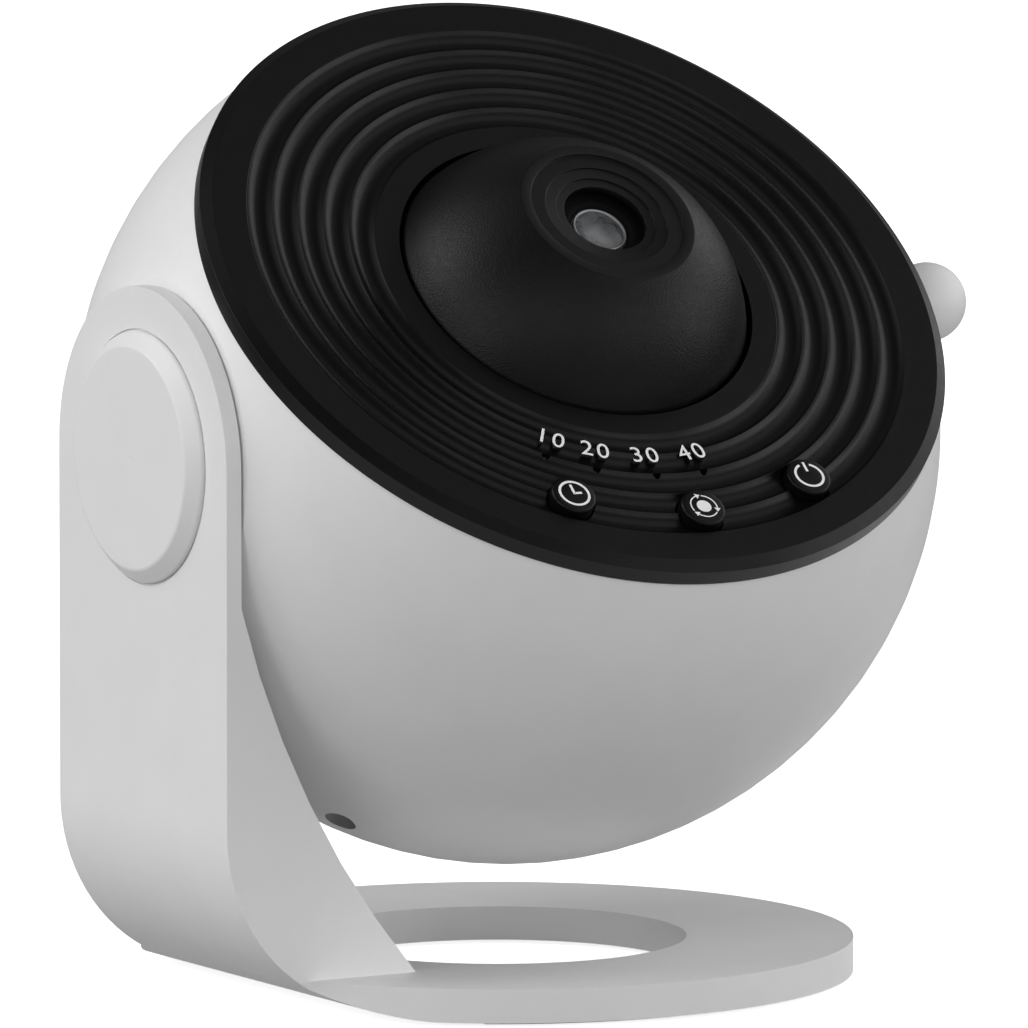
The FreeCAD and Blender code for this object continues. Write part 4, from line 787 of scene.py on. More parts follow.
@dataclass
class Stand:
    """The ring base, the dished arm, the cap over the pivot and the foot ring."""

    arm_face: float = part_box("stand_bracket")[0].x / MM
    arm_wall: float = 2.5
    half_width: float = 25.35
    pivot_height: float = PIVOT.z / MM
    ring_radius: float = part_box("stand_bracket")[1].x / MM
    ring_hole: float = 28.4
    ring_low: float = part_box("stand_bracket")[0].z / MM
    ring_thickness: float = 5.1
    bend_radius: float = 28.0
    brace_drop: float = 19.9
    brace_foot: float = 32.1
    brace_radius: float = 140.0
    dish_radius: float = 67.5
    edge: float = 0.7
    foot_outer: float = 50.45
    foot_inner: float = 43.55
    foot_back: float = -26.95
    foot_recess: float = 0.9
    foot_edge: float = 0.25
    cap_radius: float = 18.8
    cap_chamfer: float = 2.1
    cap_chamfer_depth: float = 1.9
    cap_height: float = 2.3
    cap_edge: float = 0.35
    cap_recess: float = 0.4
    cap_gap: float = 0.3
    tool_start: float = -5.0  # from the arm's face or the ring's underside, outwards
    tool_stop: float = 10.0
    seat_start: float = 1.05  # as a share of the arm face's place

    def side_outline(self) -> Outline:
        """The arm, its outer bend and its brace, seen along Y."""
        top = self.pivot_height + self.half_width + PAST
        wall = self.arm_face + self.arm_wall
        toe = self.arm_face + self.brace_foot
        return [
            (self.arm_face, top),
            (self.arm_face, self.ring_low + self.bend_radius, self.bend_radius),
            (self.arm_face + self.bend_radius, self.ring_low),
            (toe + self.arm_wall, self.ring_low),
            (toe + self.arm_wall, self.ring_low + self.ring_thickness),
            (toe, self.ring_low + self.ring_thickness, -self.brace_radius),
            (wall, self.pivot_height - self.brace_drop),
            (wall, top),
        ]

    def front_outline(self) -> Outline:
        """The arm's straight sides and round top, seen along X."""
        half = self.half_width
        return [
            (-half, self.ring_low - PAST),
            (half, self.ring_low - PAST),
            (half, self.pivot_height, half),
            (0, self.pivot_height + half, half),
            (-half, self.pivot_height),
        ]

    def bend_waste(self) -> Outline:
        """What lies outside the outer bend, seen along Y."""
        out = self.arm_face + self.tool_start
        low = self.ring_low + self.tool_start
        return [
            (self.arm_face + self.bend_radius, self.ring_low, -self.bend_radius),
            (self.arm_face, self.ring_low + self.bend_radius),
            (out, self.ring_low + self.bend_radius),
            (out, low),
            (self.arm_face + self.bend_radius, low),
        ]

    def foot_outline(self) -> Outline:
        """The open ring of rubber, seen from above."""
        outer_y = leg(self.foot_outer, self.foot_back)
        inner_y = leg(self.foot_inner, self.foot_back)
        return [
            (self.foot_back, -outer_y, self.foot_outer),
            (self.foot_outer, 0, self.foot_outer),
            (self.foot_back, outer_y),
            (self.foot_back, inner_y, -self.foot_inner),
            (self.foot_inner, 0, -self.foot_inner),
            (self.foot_back, -inner_y),
        ]

    def dish(self) -> Piece:
        """The hollow that clears the ball, stopped at the arm's inner face."""
        wall = self.arm_face + self.arm_wall - PIVOT.x / MM
        mouth = leg(self.dish_radius, wall)
        outline = [(wall, 0), (0, 0), (0, self.dish_radius, self.dish_radius), (wall, mouth)]
        return laid(turned("dish", outline, steps=256, about_x=True), Matrix.Translation(PIVOT))

    def ring(self) -> Piece:
        """The flat base ring, cut back to the arm's outer bend."""
        inner, outer = self.ring_hole, self.ring_radius
        low, high = self.ring_low, self.ring_low + self.ring_thickness
        ring = turned("ring", [(inner, low), (outer, low), (outer, high), (inner, high)])
        reach = outer + 2 * PAST
        return combine(ring, pushed("waste", self.bend_waste(), Plane.XZ, -reach, reach), Cut.TAKE)

    def cap_seat(self) -> Piece:
        """The round recess that the cap sits in, as a tool."""
        hub = Vector((0, 0, self.pivot_height))
        face = Vector((self.arm_face, 0, 0))
        floor = hub + face + Vector((self.cap_recess, 0, 0))
        return rod("seat", self.cap_radius + self.cap_gap, hub + face * self.seat_start, floor, sides=128)

    def bracket(self) -> Piece:
        """Ring, arm and brace in one moulding."""
        half, low = self.half_width, self.ring_low
        start = self.arm_face + self.tool_start
        arm = pushed("bracket", self.side_outline(), Plane.XZ, -half - PAST, half + PAST)
        combine(arm, pushed("stadium", self.front_outline(), Plane.YZ, start, self.tool_stop), Cut.KEEP)
        combine(arm, self.ring(), Cut.ADD)
        combine(arm, self.dish(), Cut.TAKE)
        combine(arm, self.cap_seat(), Cut.TAKE)
        groove = pushed("groove", self.foot_outline(), Plane.XY, low - PAST, low + self.foot_recess)
        combine(arm, groove, Cut.TAKE)
        return smoothed(bevelled(arm, self.edge))

    def cap(self) -> Piece:
        """The round button over the pivot's bolt."""
        back = self.arm_face + self.cap_recess
        front = self.arm_face - self.cap_height
        outline = [
            (front, 0),
            (front, self.cap_radius - self.cap_chamfer),
            (front + self.cap_chamfer_depth, self.cap_radius),
            (back, self.cap_radius),
            (back, 0),
        ]
        cap = turned("cap_button", outline, rounding=self.cap_edge, about_x=True)
        return smoothed(laid(cap, Matrix.Translation((0, 0, PIVOT.z))))

    def foot(self) -> Piece:
        """The rubber ring under the base."""
        foot = pushed("foot_ring", self.foot_outline(), Plane.XY, 0, self.ring_low + self.foot_recess)
        return smoothed(bevelled(foot, self.foot_edge, segments=2))

    def build(self) -> None:
        """Model and dress the stand."""
        fitted(self.bracket(), WHITE_SHELL, "stand", ["stand_bracket"])
        fitted(self.cap(), WHITE_SHELL, "stand", ["pivot_cap"])
        fitted(self.foot(), FOOT_RUBBER, "stand", ["foot_pad"])


# ------------------------------------------------------------------ the ball head


@dataclass
class Ball:
    """The white shell, with its flats, screw wells and supply socket."""

    radius: float = BALL_RADIUS
    flat: float = 59.4
    wall: float = 2.5
    mouth: float = FACE_SEAT
    edge: float = 0.5
    screw_circle: float = 52.0
    screw_azimuth: float = 38.2
    tower_radius: float = 4.2
    tower_top: float = 16.0
    access_radius: float = 2.45
    access_reach: float = 2.5  # a little past the radius, for the test of which faces get the painted shade
    screw_seat: float = 8.0
    seat_radius: float = 25.5
    seat_floor: float = 57.9
    socket_y: float = 10.0
    socket_size: tuple[float, float] = (9.0, 3.3)
    socket_reach: tuple[float, float] = (-62.62, -53.22)
    socket_rounding: float = 1.6
    socket_edge: float = 0.08
    hollow_size: tuple[float, float] = (8.3, 2.6)
    hollow_rounding: float = 1.25
    hollow_back: float = 1.4
    tongue_size: tuple[float, float] = (6.7, 0.7)
    tongue_rounding: float = 0.3
    tongue_front: float = 1.0
    tongue_back: float = 1.3
    slot_rounding: float = 1.9
    plug_size: tuple[float, float] = (13.0, 7.0)
    plug_floor: float = -62.92
    plug_rounding: float = 3.0
    boss_start: float = 0.4
    boss_rounding: float = 1.0
    slack: float = 0.3

    def skin(self) -> Piece:
        """The ball's wall, turned along the pivot and opened at the face."""
        flat, radius = self.flat, self.radius
        rim = leg(radius, flat)
        outline = [(-flat, 0), (-flat, rim, -radius), (0, radius, -radius), (flat, rim), (flat, 0)]
        skin = traced("ball_shell", outline, Plane.XZ, closed=False)
        spun(256, axis=(1, 0, 0))
        bpy.ops.mesh.normals_make_consistent(inside=False)
        bpy.ops.mesh.bisect(plane_co=(0, 0, self.mouth * MM), plane_no=(0, 0, 1), clear_outer=True)
        bpy.ops.object.mode_set(mode="OBJECT")
        apply_modifier(skin, "SOLIDIFY", thickness=self.wall * MM, offset=-1.0, use_even_offset=True)
        return skin

    def block(self, name: str, size: Spot, low: float, high: float, rounding: float) -> Piece:
        """A rounded block about the supply socket.

        Args:
            name: The new object's name.
            size: Its width along X and its height along Y.
            low: Its lower end.
            high: Its upper end.
            rounding: The rounding of its corners.

        Returns:
            The block.
        """
        x, y = size[0] / 2, size[1] / 2
        middle = self.socket_y
        outline = [(-x, middle - y), (x, middle - y), (x, middle + y), (-x, middle + y)]
        return pushed(name, outline, Plane.XY, low, high, rounding)

    def towers(self) -> list[Spot]:
        """Where the four shell screws are."""
        turn = self.screw_azimuth
        return [around(self.screw_circle, azimuth) for azimuth in (-turn, turn, turn - 180, 180 - turn)]

    def shell(self) -> Piece:
        """The wall with its wells, its plug recess and the dial's seat."""
        skin, radius, wall, floor = self.skin(), self.radius, self.wall, self.plug_floor
        wells = []
        bores = []
        for index, spot in enumerate(self.towers()):
            wells.append(post(f"well_{index}", self.tower_radius, spot, -radius, self.tower_top))
            bores.append(post(f"bore_{index}", self.access_radius, spot, -radius, self.screw_seat))
        inside = radius - wall / 2
        core = turned("core", [(0, -inside, inside), (inside, 0, inside), (0, inside)])
        combine(skin, combine(joined(wells), core, Cut.KEEP), Cut.ADD)
        thick = (self.plug_size[0] + 2 * wall, self.plug_size[1] + 2 * wall)
        boss = self.block("boss", thick, floor + self.boss_start, floor + wall, self.boss_rounding)
        combine(skin, boss, Cut.ADD)
        bores.append(self.block("plug_recess", self.plug_size, -radius - PAST, floor, self.plug_rounding))
        for bore in bores:
            combine(skin, bore, Cut.TAKE)
        mouth = (self.socket_size[0] + 2 * self.slack, self.socket_size[1] + 2 * self.slack)
        slot = self.block("socket_slot", mouth, -radius, self.socket_reach[1], self.slot_rounding)
        combine(skin, slot, Cut.TAKE)
        low, high = Vector((self.seat_floor, 0, 0)), Vector((radius, 0, 0))
        combine(skin, rod("dial_seat", self.seat_radius, low, high, sides=192), Cut.TAKE)
        return on_head(bevelled(skin, self.edge, angle=22.0), angle=35.0)

    def in_well(self, place: Vector) -> bool:
        """Whether a place is inside one of the screws' wells, below the ball's skin, where the faces get
        painted shade.
        """
        spot = HEAD.inverted() @ place / MM
        if spot.length >= self.radius - self.edge / 2:
            return False
        return any(math.hypot(spot.x - x, spot.y - y) < self.access_reach for x, y in self.towers())

    def socket(self) -> Piece:
        """The oblong metal can of the supply socket."""
        low, high = self.socket_reach
        can = self.block("supply_can", self.socket_size, low, high, self.socket_rounding)
        back = high - self.hollow_back
        hollow = self.block("hollow", self.hollow_size, low - PAST, back, self.hollow_rounding)
        return on_head(bevelled(combine(can, hollow, Cut.TAKE), self.socket_edge, segments=2))

    def tongue(self) -> Piece:
        """The contact tongue inside the socket."""
        low, high = self.socket_reach[0] + self.tongue_front, self.socket_reach[1] - self.tongue_back
        return on_head(self.block("supply_tongue", self.tongue_size, low, high, self.tongue_rounding))

    def build(self) -> None:
        """Model and dress the ball and its socket."""
        shell = fitted(self.shell(), WHITE_SHELL, "head", ["rear_shell"])
        # paint shade on the faces inside the screw wells
        PAINTED_WELL_SHADE.put_beside(shell, self.in_well)
        fitted(self.socket(), STEEL, "head", ["usb_socket"])
        fitted(self.tongue(), COMPONENT, "head")


@dataclass
class Face:
    """The rippled black face, its lamps and the marks beside them."""

    radius: float = 58.6
    low: float = FACE_SEAT
    shoulder: float = 2.6
    top: float = 32.4
    chamfer: float = 1.7
    skin: float = 29.5
    edge: float = 0.05
    ripple_start: float = 51.65
    ripple_pitch: float = 4.01
    ripple_depth: float = 0.95
    ripples: int = 5
    hole: float = 27.7
    collar: float = 30.0
    collar_low: float = 24.2
    ledge: float = 24.8
    ledge_top: float = 25.5
    spigot: float = 55.22
    spigot_wall: float = 2.0
    spigot_low: float = 26.5
    key_hole: float = 3.8
    lamp_circle: float = 39.62
    lamp_hole: float = 0.65
    lamp_azimuths: tuple[float, ...] = (-30.9, -19.4, -5.6, 6.0)
    marks: dict[str, float] = field(
        default_factory=lambda: {"10": -30.6, "20": -19.5, "30": -6.9, "40": 5.9}
    )
    mark_circle: float = 36.0
    mark_height: float = 2.95
    mark_share: float = 0.7  # a figure's height, as a share of its text's size
    mark_spacing: float = 1.2
    mark_foot: float = 30.5
    ink: float = 0.03

    def outline(self) -> Outline:
        """Half the face plate's section, from the rim inwards."""
        width, depth = self.ripple_pitch, self.ripple_depth
        scallop = (width * width / 4 + depth * depth) / (2 * depth)
        crests = [self.ripple_start - ripple * width for ripple in range(self.ripples + 1)]
        return [
            (self.radius, self.low),
            (self.radius, self.low + self.shoulder),
            (self.radius - self.chamfer, self.top),
            *((crest, self.top, -scallop) for crest in crests[:-1]),
            (crests[-1], self.top),
            (self.hole, self.top),
            (self.hole, self.ledge_top),
            (self.ledge, self.ledge_top),
            (self.ledge, self.collar_low),
            (self.collar, self.collar_low),
            (self.collar, self.skin),
            (self.spigot - self.spigot_wall, self.skin),
            (self.spigot - self.spigot_wall, self.spigot_low),
            (self.spigot, self.spigot_low),
            (self.spigot, self.low),
        ]

    def plate(self) -> Piece:
        """The turned plate with its key and lamp holes."""
        plate = turned("face_ripples", self.outline(), rounding=self.edge, steps=288)
        ends = (self.skin - PAST, self.top + PAST)
        keys = [around(KEY_CIRCLE, azimuth) for azimuth in (-KEY_SPREAD, 0.0, KEY_SPREAD)]
        lamps = [around(self.lamp_circle, azimuth) for azimuth in self.lamp_azimuths]
        holes = [post("key_hole", self.key_hole, spot, *ends, sides=96) for spot in keys]
        holes += [post("lamp_hole", self.lamp_hole, spot, *ends, sides=32) for spot in lamps]
        return combine(plate, joined(holes), Cut.TAKE)

    def figure(self, word: str, azimuth: float, low: float, high: float) -> Piece:
        """One figure as a prism, on the ripple above its lamp.

        Args:
            word: The figure.
            azimuth: Where it is on the face.
            low: The height it starts at.
            high: The height it ends at.

        Returns:
            The prism, in the head's own frame.
        """
        deselect()
        bpy.ops.object.text_add(location=(0, 0, 0))
        figure = bpy.context.object
        text = figure.data
        text.body = word
        text.size = self.mark_height * MM / self.mark_share
        text.space_character = self.mark_spacing
        text.extrude = (high - low) / 2 * MM
        text.align_x = "CENTER"
        text.align_y = "CENTER"
        text.resolution_u = 8
        bpy.ops.object.convert(target="MESH")
        x, y = around(self.mark_circle, azimuth)
        spot = Matrix.Translation((x * MM, y * MM, (low + high) / 2 * MM))
        return laid(figure, spot @ Matrix.Rotation(math.radians(azimuth), 4, "Z"))

    def figures(self, name: str, low: float, high: float) -> Piece:
        """All the figures, between two heights.

        Args:
            name: The new object's name.
            low: The height they start at.
            high: The height they end at.

        Returns:
            The figures.
        """
        figures = joined([self.figure(word, azimuth, low, high) for word, azimuth in self.marks.items()])
        figures.name = name
        edit(figures)
        bpy.ops.mesh.remove_doubles(threshold=MERGE)
        faced_out()
        return laid(figures, HEAD)

    def build(self) -> None:
        """Model and dress the face, and the raised figures with their printed tops."""
        fitted(on_head(self.plate(), 30.0), BLACK_FACE, "head", ["face_plate"])
        fitted(self.figures("raised_figures", self.mark_foot, self.top), BLACK_FACE, "head")
        fitted(self.figures("lamp_marks", self.top, self.top + self.ink), WHITE_INK, "head")


class Symbol(Enum):
    """The printed symbol of a key, by the frame's node for the key."""

    TIMER = "timer_button"
    ROTATION = "rotation_button"
    POWER = "power_button"


@dataclass
class Keys:
    """The three round keys and their printed symbols."""

    radius: float = 3.5
    top: float = 33.7
    edge: float = 0.5
    flange_radius: float = 4.5
    flange: tuple[float, float] = (28.2, 29.2)
    stem_radius: float = 1.3
    stem_low: float = 26.1
    ink: float = 0.03
    stroke: float = 0.4
    flat: float = 6.0  # the turn of one flat of an arc
    least_flats: int = 4
    timer_ring: float = 2.3
    long_hand: tuple[Spot, Spot] = ((0, 1.75), (0, -0.17))
    short_hand: tuple[Spot, Spot] = ((0, 0), (1.25, 0))
    power_ring: float = 2.2
    power_arc: tuple[float, float] = (112, 428)
    power_bar: tuple[Spot, Spot] = ((0, 2.6), (0, 0.75))
    dot: float = 1.15
    turn_ring: float = 2.1
    turn_stroke: float = 0.2
    turn_starts: tuple[float, ...] = (-15, 105, 225)
    turn_sweep: float = 95
    arrow_length: float = 0.75
    arrow_half: float = 0.5
    places: dict[Symbol, tuple[str, float]] = field(
        default_factory=lambda: {
            Symbol.TIMER: ("timer_key", -KEY_SPREAD),
            Symbol.ROTATION: ("rotation_key", 0.0),
            Symbol.POWER: ("power_key", KEY_SPREAD),
        }
    )

    def key(self, name: str) -> Piece:
        """A turned key with a flange and a stem, about the origin."""
        low, high = self.flange
        outline = [
            (0, self.top),
            (self.radius, self.top),
            (self.radius, high),
            (self.flange_radius, high),
            (self.flange_radius, low),
            (self.stem_radius, low),
            (self.stem_radius, self.stem_low),
            (0, self.stem_low),
        ]
        return turned(name, outline, rounding=self.edge, steps=96)

    def band(self, name: str, radius: float, width: float, start: float, stop: float) -> Piece:
        """A printed arc about the origin.

        Args:
            name: The new object's name.
            radius: The middle of its stroke.
            width: Its stroke.
            start: Where it starts, in degrees from +X.
            stop: Where it stops.

        Returns:
            The flat arc.
        """
        inner, outer = ray(start) * (radius - width / 2), ray(start) * (radius + width / 2)
        line = traced(name, [tuple(inner), tuple(outer)], Plane.XY, closed=False)
        steps = max(int((stop - start) / self.flat), self.least_flats)
        spun(steps, math.radians(stop - start), (0, 0, -1))
        bpy.ops.object.mode_set(mode="OBJECT")
        return line

    def patch(self, name: str, outline: Outline) -> Piece:
        """A printed flat shape."""
        shape = traced(name, outline, Plane.XY)
        bpy.ops.mesh.edge_face_add()
        bpy.ops.object.mode_set(mode="OBJECT")
        return shape

    def bar(self, name: str, start: Spot, stop: Spot) -> Piece:
        """A printed straight stroke between two points."""
        a, b = Vector(start), Vector(stop)
        side = Vector((a.y - b.y, b.x - a.x)).normalized() * (self.stroke / 2)
        return self.patch(name, [tuple(a - side), tuple(b - side), tuple(b + side), tuple(a + side)])

    def arrow(self, name: str, angle: float, radius: float) -> Piece:
        """A small arrowhead that points clockwise round a ring."""
        out = ray(angle)
        tip = out * radius + Vector((out.y, -out.x)) * self.arrow_length
        wing = out * self.arrow_half
        return self.patch(name, [tuple(tip), tuple(out * radius + wing), tuple(out * radius - wing)])

    def strokes(self, symbol: Symbol) -> list[Piece]:
        """The strokes of one symbol, about the origin.

        Args:
            symbol: Which one.

        Returns:
            The strokes.
        """
        if symbol is Symbol.TIMER:
            return [
                self.band("timer_mark", self.timer_ring, self.stroke, 0, 360),
                self.bar("long_hand", *self.long_hand),
                self.bar("short_hand", *self.short_hand),
            ]
        if symbol is Symbol.POWER:
            return [
                self.band("power_mark", self.power_ring, self.stroke, *self.power_arc),
                self.bar("power_bar", *self.power_bar),
            ]
        dot, ring = self.dot, self.turn_ring
        shapes = [self.patch("rotation_mark", [(-dot, 0, dot), (0, -dot, dot), (dot, 0, dot), (0, dot, dot)])]
        for start in self.turn_starts:
            shapes.append(self.band("turn", ring, self.turn_stroke, start, start + self.turn_sweep))
            shapes.append(self.arrow("head", start, ring))
        return shapes

    def mark(self, symbol: Symbol) -> Piece:
        """A symbol as a thin layer of ink on the key's top, about the origin."""
        mark = joined(self.strokes(symbol))
        edit(mark)
        bpy.ops.mesh.normals_make_consistent(inside=False)
        bpy.ops.transform.translate(value=(0, 0, self.top * MM))
        bpy.ops.mesh.extrude_region_move(TRANSFORM_OT_translate={"value": (0, 0, self.ink * MM)})
        faced_out()
        return mark

    def build(self) -> None:
        """Model and dress the keys."""
        for symbol, (body, azimuth) in self.places.items():
            x, y = around(KEY_CIRCLE, azimuth)
            spot = HEAD @ Matrix.Translation((x * MM, y * MM, 0))
            key = smoothed(laid(self.key(body + "_cap"), spot))
            fitted(key, BLACK_KEY, body, [symbol.value])
            fitted(laid(self.mark(symbol), spot), WHITE_INK, body)


@dataclass
class Dome:
    """The lens dome, its stepped eye, and the projection lens."""

    radius: float = 29.1
    centre: float = 21.1
    skirt: float = 27.05
    seat: float = 25.5
    top: float = 46.8
    wall: float = 2.0
    ceiling: float = 44.0
    edge: float = 0.12
    steps: tuple[float, ...] = (12.0, 9.6, 7.8)
    step_depth: float = 0.4
    bore: float = 6.4
    lip: float = 1.1
    slack: float = 0.05
    barrel: float = 7.8
    barrel_top: float = 43.6
    barrel_low: float = 27.0
    socket_low: float = 36.0
    socket_wall: float = 1.9
    lens: float = 5.5
    opening: float = 4.3
    opening_depth: float = 0.8
    bezel: float = 0.27
    bezel_lift: float = 0.15
    lens_curve: float = 16.0

    def shell(self) -> Piece:
        """The dome, in one turned profile."""
        inner = self.radius - self.wall
        skirt_in = self.skirt - self.wall
        socket = self.barrel + self.slack
        points: Outline = [
            (self.skirt, self.seat),
            (self.skirt, self.centre + leg(self.radius, self.skirt), self.radius),
            (leg(self.radius, self.top - self.centre), self.top),
        ]
        height = self.top
        for step in self.steps:
            points += [(step, height), (step, height - self.step_depth)]
            height -= self.step_depth
        points += [
            (self.bore, height),
            (self.bore, height - self.lip),
            (socket, height - self.lip),
            (socket, self.socket_low),
            (socket + self.socket_wall, self.socket_low),
            (socket + self.socket_wall, self.ceiling),
            (leg(inner, self.ceiling - self.centre), self.ceiling, -inner),
            (skirt_in, self.centre + leg(inner, skirt_in)),
            (skirt_in, self.seat),
        ]
        return on_head(turned("dome_shell", points, rounding=self.edge, steps=256), 30.0)

    def mount(self) -> Piece:
        """The barrel that holds the lenses."""
        bore, floor = self.lens + self.slack, self.barrel_top - self.opening_depth
        outline = [
            (self.opening + self.opening_depth, self.barrel_top),
            (self.opening, floor),
            (bore, floor),
            (bore, self.barrel_low),
            (self.barrel, self.barrel_low),
            (self.barrel, self.barrel_top),
        ]
        return on_head(turned("barrel_mount", outline, rounding=self.edge, steps=128))

    def bezel_ring(self) -> Piece:
        """The bright round ring that frames the front lens."""
        radius = self.bezel
        middle = self.opening - radius
        height = self.barrel_top - self.opening_depth + self.bezel_lift
        outline = [(middle - radius, height, radius), (middle + radius, height, radius)]
        return on_head(turned("lens_bezel", outline, steps=128), 60.0)

    def glass(self, name: str, node: str) -> Piece:
        """A smooth lens in the place of a frame's node.

        Args:
            name: The new object's name.
            node: The node.

        Returns:
            The lens.
        """
        sag = self.lens_curve - leg(self.lens_curve, self.lens)
        heights = [(HEAD.inverted() @ vertex.co).z / MM for vertex in frame["nodes"][node].data.vertices]
        low, high = min(heights), max(heights)
        outline = [
            (0, low, self.lens_curve),
            (self.lens, low + sag),
            (self.lens, high - sag, self.lens_curve),
            (0, high),
        ]
        return on_head(turned(name, outline, steps=96), 50.0)

    def build(self) -> None:
        """Model and dress the dome."""
        fitted(self.shell(), BLACK_DOME, "dome", ["lens_dome"])
        fitted(self.mount(), BLACK_WELL, "dome", ["lens_barrel"])
        fitted(self.bezel_ring(), BEZEL, "dome")
        for name, node in (("front_lens", "objective_lens"), ("back_lens", "relay_lens")):
            fitted(self.glass(name, node), OPTIC_GLASS, "dome", [node])


@dataclass
class FocusDial:
    """The thin dial in the ball's flat, and its ball handle."""

    radius: float = 25.2
    back: float = 58.2
    front: float = 60.8
    edge: float = 0.6
    shaft: float = 4.0
    shaft_end: float = 34.0
    handle_radius: float = 6.0
    handle_offset: float = 21.65
    handle_lift: float = 4.2

    def disc(self) -> Piece:
        """The dial and its shaft."""
        outline = [
            (self.front, 0),
            (self.front, self.radius),
            (self.back, self.radius),
            (self.back, self.shaft),
            (self.shaft_end, self.shaft),
            (self.shaft_end, 0),
        ]
        return on_head(turned("dial_disc", outline, rounding=self.edge, about_x=True))

    def handle(self) -> Piece:
        """The ball that the dial is turned by."""
        front, radius = self.front, self.handle_radius
        centre = front + self.handle_lift
        foot = leg(radius, self.handle_lift)
        outline = [(front, 0), (front, foot, -radius), (centre, radius, -radius), (centre + radius, 0)]
        ball = turned("handle_ball", outline, steps=96, about_x=True)
        return smoothed(laid(ball, HEAD @ Matrix.Translation((0, 0, self.handle_offset * MM))), 60.0)

    def build(self) -> None:
        """Model and dress the dial."""
        fitted(self.disc(), WHITE_SHELL, "dial", ["focus_dial"])
        fitted(self.handle(), WHITE_SHELL, "dial", ["ball_handle"])


@dataclass
class Works:
    """The frame's own nodes that stay, each with its finish."""

    finishes: dict[Finish, tuple[str, ...]] = field(
        default_factory=lambda: {
            STEEL: (
                "pivot_bolt", "pivot_nut", "shell_screws", "control_board_screws", "driver_board_screws",
                "guide_screws", "engine_screws", "motor", "motor_shaft",
            ),
            SPRING_STEEL: ("spring_washer", "dial_clip"),
            BRONZE: ("pivot_bush",),
            SLIDE_WASHER: ("friction_washer",),
            GREEN_BOARD: ("control_board", "driver_board"),
            WHITE_BOARD: ("led_board",),
            COMPONENT: ("tact_switches",),
            PHOSPHOR: ("indicator_lamps", "projection_led"),
            CLEAR_PLASTIC: ("condenser_lens",),
            SMOKED_PLASTIC: ("light_pipes",),
            INNER_PLASTIC: (
                "lens_spacer", "lens_retainer", "focus_carriage", "condenser_spacer", "film_frame",
            ),
            ACETAL: ("focus_pinion", "focus_rack", "turntable", "motor_pinion"),
            SINK_ALLOY: ("heat_sink",),
            STAR_FILM: ("star_film",),
        }
    )

    def build(self) -> None:
        """Dress the nodes."""
        for finish, names in self.finishes.items():
            for name in names:
                finish.put_on(frame["nodes"][name])
                LOG.info("%s keeps its own mesh, in %s", name, finish.name)


# ------------------------------------------------------------------ the studio


@dataclass(frozen=True)
class Lamp:
    """A soft square lamp that faces the object, placed by its bearing from the camera's side."""

    name: str
    bearing: float
    elevation: float
    power: float
    size: float = 900.0
    distance: float = 1400.0


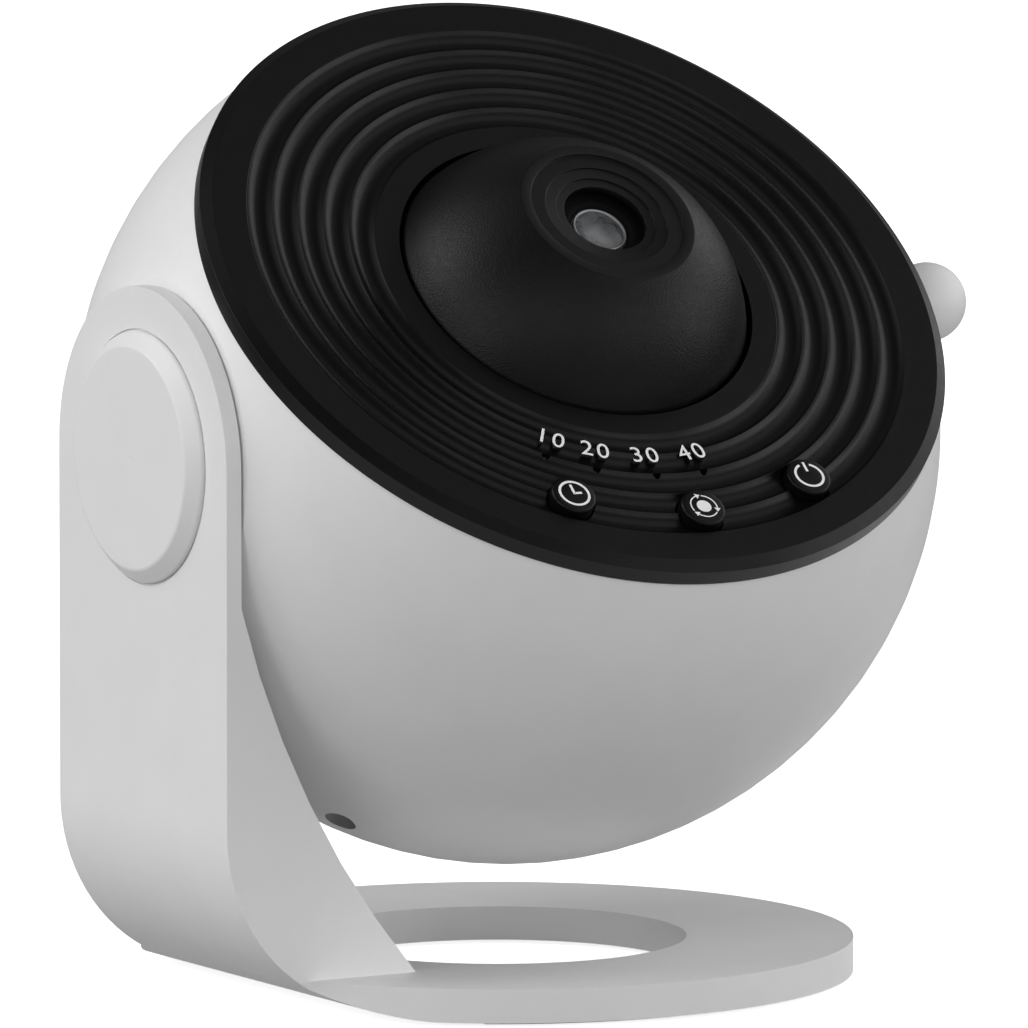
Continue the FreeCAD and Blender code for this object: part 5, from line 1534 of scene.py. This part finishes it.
@dataclass
class Studio:
    """The camera, the lamps, the floor and the pale surround."""

    lamps: tuple[Lamp, ...] = (
        Lamp("front_lamp", 0.0, 15.0, 3.0),
        Lamp("right_front_lamp", 45.0, 6.0, 4.2),
        Lamp("right_lamp", 90.0, 8.0, 5.6),
        Lamp("back_right_lamp", 130.0, 28.0, 3.6),
        Lamp("upper_right_lamp", 70.0, 55.0, 2.0),
        Lamp("left_lamp", 270.0, 28.0, 9.0),
        Lamp("upper_left_lamp", 270.0, 55.0, 1.5),
        Lamp("left_front_lamp", 315.0, 6.0, 5.7),
    )
    surround_light: float = 0.15
    ground_height: float = -0.3  # the height of a direction, below which the surround is ground
    floor_side: float = 6000.0
    floor_colour: tuple[float, float, float, float] = (0.15, 0.15, 0.15, 1.0)
    floor_glow: tuple[float, float] = (0.82, 1.0)
    glow_reach: tuple[float, float] = (150.0, 450.0)
    mirror_reach: tuple[float, float] = (150.0, 350.0)
    focal_pixels: float = 23800.0
    picture_pixels: float = 1028.0
    sensor: float = 36.0
    sight: float = 20000.0
    azimuth: float = -30.197
    elevation: float = 7.694
    distance: float = 54.727 * BALL_RADIUS
    across: float = 0.0189 * BALL_RADIUS
    rise: float = -0.1947 * BALL_RADIUS

    def aimed(self, name: str, data: bpy.types.ID, place: Vector, way: Vector) -> Piece:
        """Put a camera or a lamp in the scene.

        Args:
            name: The new object's name.
            data: The camera's or the lamp's own data.
            place: Where it stands.
            way: The way it looks.

        Returns:
            The object.
        """
        thing = bpy.data.objects.new(name, data)
        bpy.context.scene.collection.objects.link(thing)
        thing.location = place
        thing.rotation_euler = way.to_track_quat("-Z", "Y").to_euler()
        return thing

    def camera(self) -> None:
        """Set up the camera and make it the scene's."""
        turn, lift = math.radians(self.azimuth), math.radians(self.elevation)
        ahead = Vector((-math.sin(turn) * math.cos(lift), math.cos(turn) * math.cos(lift), -math.sin(lift)))
        right = Vector((math.cos(turn), math.sin(turn), 0))
        offset = right * self.across + right.cross(ahead) * self.rise - ahead * self.distance
        data = bpy.data.cameras.new("camera")
        data.sensor_width = self.sensor
        data.lens = self.focal_pixels * self.sensor / self.picture_pixels
        data.clip_end = self.sight * MM
        bpy.context.scene.camera = self.aimed("camera", data, PIVOT + offset * MM, ahead)

    def light(self, lamp: Lamp) -> None:
        """Add one lamp.

        Args:
            lamp: What it is and where it stands.
        """
        turn = math.radians(self.azimuth - 90.0 + lamp.bearing)
        lift = math.radians(lamp.elevation)
        way = Vector((math.cos(turn) * math.cos(lift), math.sin(turn) * math.cos(lift), math.sin(lift)))
        data = bpy.data.lights.new(lamp.name, "AREA")
        data.size = lamp.size * MM
        data.energy = lamp.power
        self.aimed(lamp.name, data, PIVOT + way * (lamp.distance * MM), -way)

    def seen_as_ground(self, tree: Tree, mirrored: Socket) -> Socket:
        """How much of the white ground a ray sees: all of it straight on or through glass.

        Args:
            tree: The node tree that asks.
            mirrored: How much of it a mirrored ray sees here, so that the studio round the object
                stays dim in its dark plastics.

        Returns:
            The answer, from 0 to 1.
        """
        path = wired(tree, "LightPath").outputs
        glossy = reckoned(tree, "MULTIPLY", path["Is Glossy Ray"], mirrored)
        through = reckoned(tree, "MAXIMUM", path["Is Transmission Ray"], glossy)
        return reckoned(tree, "MAXIMUM", path["Is Camera Ray"], through)

    def spread(self, tree: Tree, reach: tuple[float, float], ends: tuple[float, float]) -> Socket:
        """A number that changes with the distance from the middle of the floor.

        Args:
            tree: The floor's node tree.
            reach: The distances between which it changes.
            ends: What it is at each.

        Returns:
            The number.
        """
        away = wired(tree, "VectorMath", {0: wired(tree, "TexCoord").outputs["Object"]}, operation="LENGTH")
        inputs = {"Value": away.outputs["Value"], "From Min": reach[0] * MM, "From Max": reach[1] * MM}
        return wired(tree, "MapRange", inputs | {"To Min": ends[0], "To Max": ends[1]}).outputs["Result"]

    def floor(self) -> None:
        """Lay a pale floor that keeps the object's shadow.

        The camera sees a glow just short of white and the lamps' light on it, so that where the
        object keeps the lamps off, its shadow shows.
        """
        deselect()
        bpy.ops.mesh.primitive_plane_add(size=self.floor_side * MM, location=(0, 0, 0))
        floor = bpy.context.object
        floor.name = "floor"
        material = bpy.data.materials.new("floor")
        material.use_nodes = True
        tree = material.node_tree
        plain = tree.nodes["Principled BSDF"]
        plain.inputs["Base Color"].default_value = self.floor_colour
        plain.inputs["Roughness"].default_value = 1.0
        plain.inputs["Specular IOR Level"].default_value = 0.0
        white = wired(tree, "Emission", {"Strength": 1.0}).outputs["Emission"]
        seen = self.seen_as_ground(tree, self.spread(tree, self.mirror_reach, (1.0, 0.0)))
        glow = wired(tree, "Emission", {"Strength": self.spread(tree, self.glow_reach, self.floor_glow)})
        lit = wired(tree, "BsdfDiffuse", {"Color": WHITE})
        shadowed = wired(tree, "AddShader", {0: glow.outputs["Emission"], 1: lit.outputs["BSDF"]})
        camera = wired(tree, "LightPath").outputs["Is Camera Ray"]
        unseen = mixed(tree, seen, plain.outputs["BSDF"], white)
        either = mixed(tree, camera, unseen, shadowed.outputs["Shader"])
        tree.links.new(either, tree.nodes["Material Output"].inputs["Surface"])
        floor.data.materials.append(material)

    def surround(self) -> None:
        """A white surround for the camera, and a plainer one for the light it gives."""
        world = bpy.data.worlds.new("surround")
        bpy.context.scene.world = world
        world.use_nodes = True
        tree = world.node_tree
        lit = tree.nodes["Background"]
        lit.inputs["Color"].default_value = WHITE
        lit.inputs["Strength"].default_value = self.surround_light
        seen = wired(tree, "Background", {"Color": WHITE}).outputs["Background"]
        way = wired(tree, "SeparateXYZ", {0: wired(tree, "TexCoord").outputs["Generated"]})
        ground = self.seen_as_ground(tree, reckoned(tree, "LESS_THAN", way.outputs["Z"], self.ground_height))
        either = mixed(tree, ground, lit.outputs["Background"], seen)
        tree.links.new(either, tree.nodes["World Output"].inputs["Surface"])

    def build(self) -> None:
        """Set the stage."""
        self.camera()
        self.floor()
        self.surround()
        for lamp in self.lamps:
            self.light(lamp)
        bpy.context.scene.view_settings.view_transform = "Standard"


def main() -> None:
    """Build every sub-assembly, then the studio round them."""
    logging.basicConfig(level=logging.INFO, format="%(name)s: %(message)s")
    for assembly in (Stand(), Ball(), Face(), Keys(), Dome(), FocusDial(), Works(), Studio()):
        LOG.info("building %s", type(assembly).__name__)
        assembly.build()
    deselect()


if __name__ == "__main__":
    main()
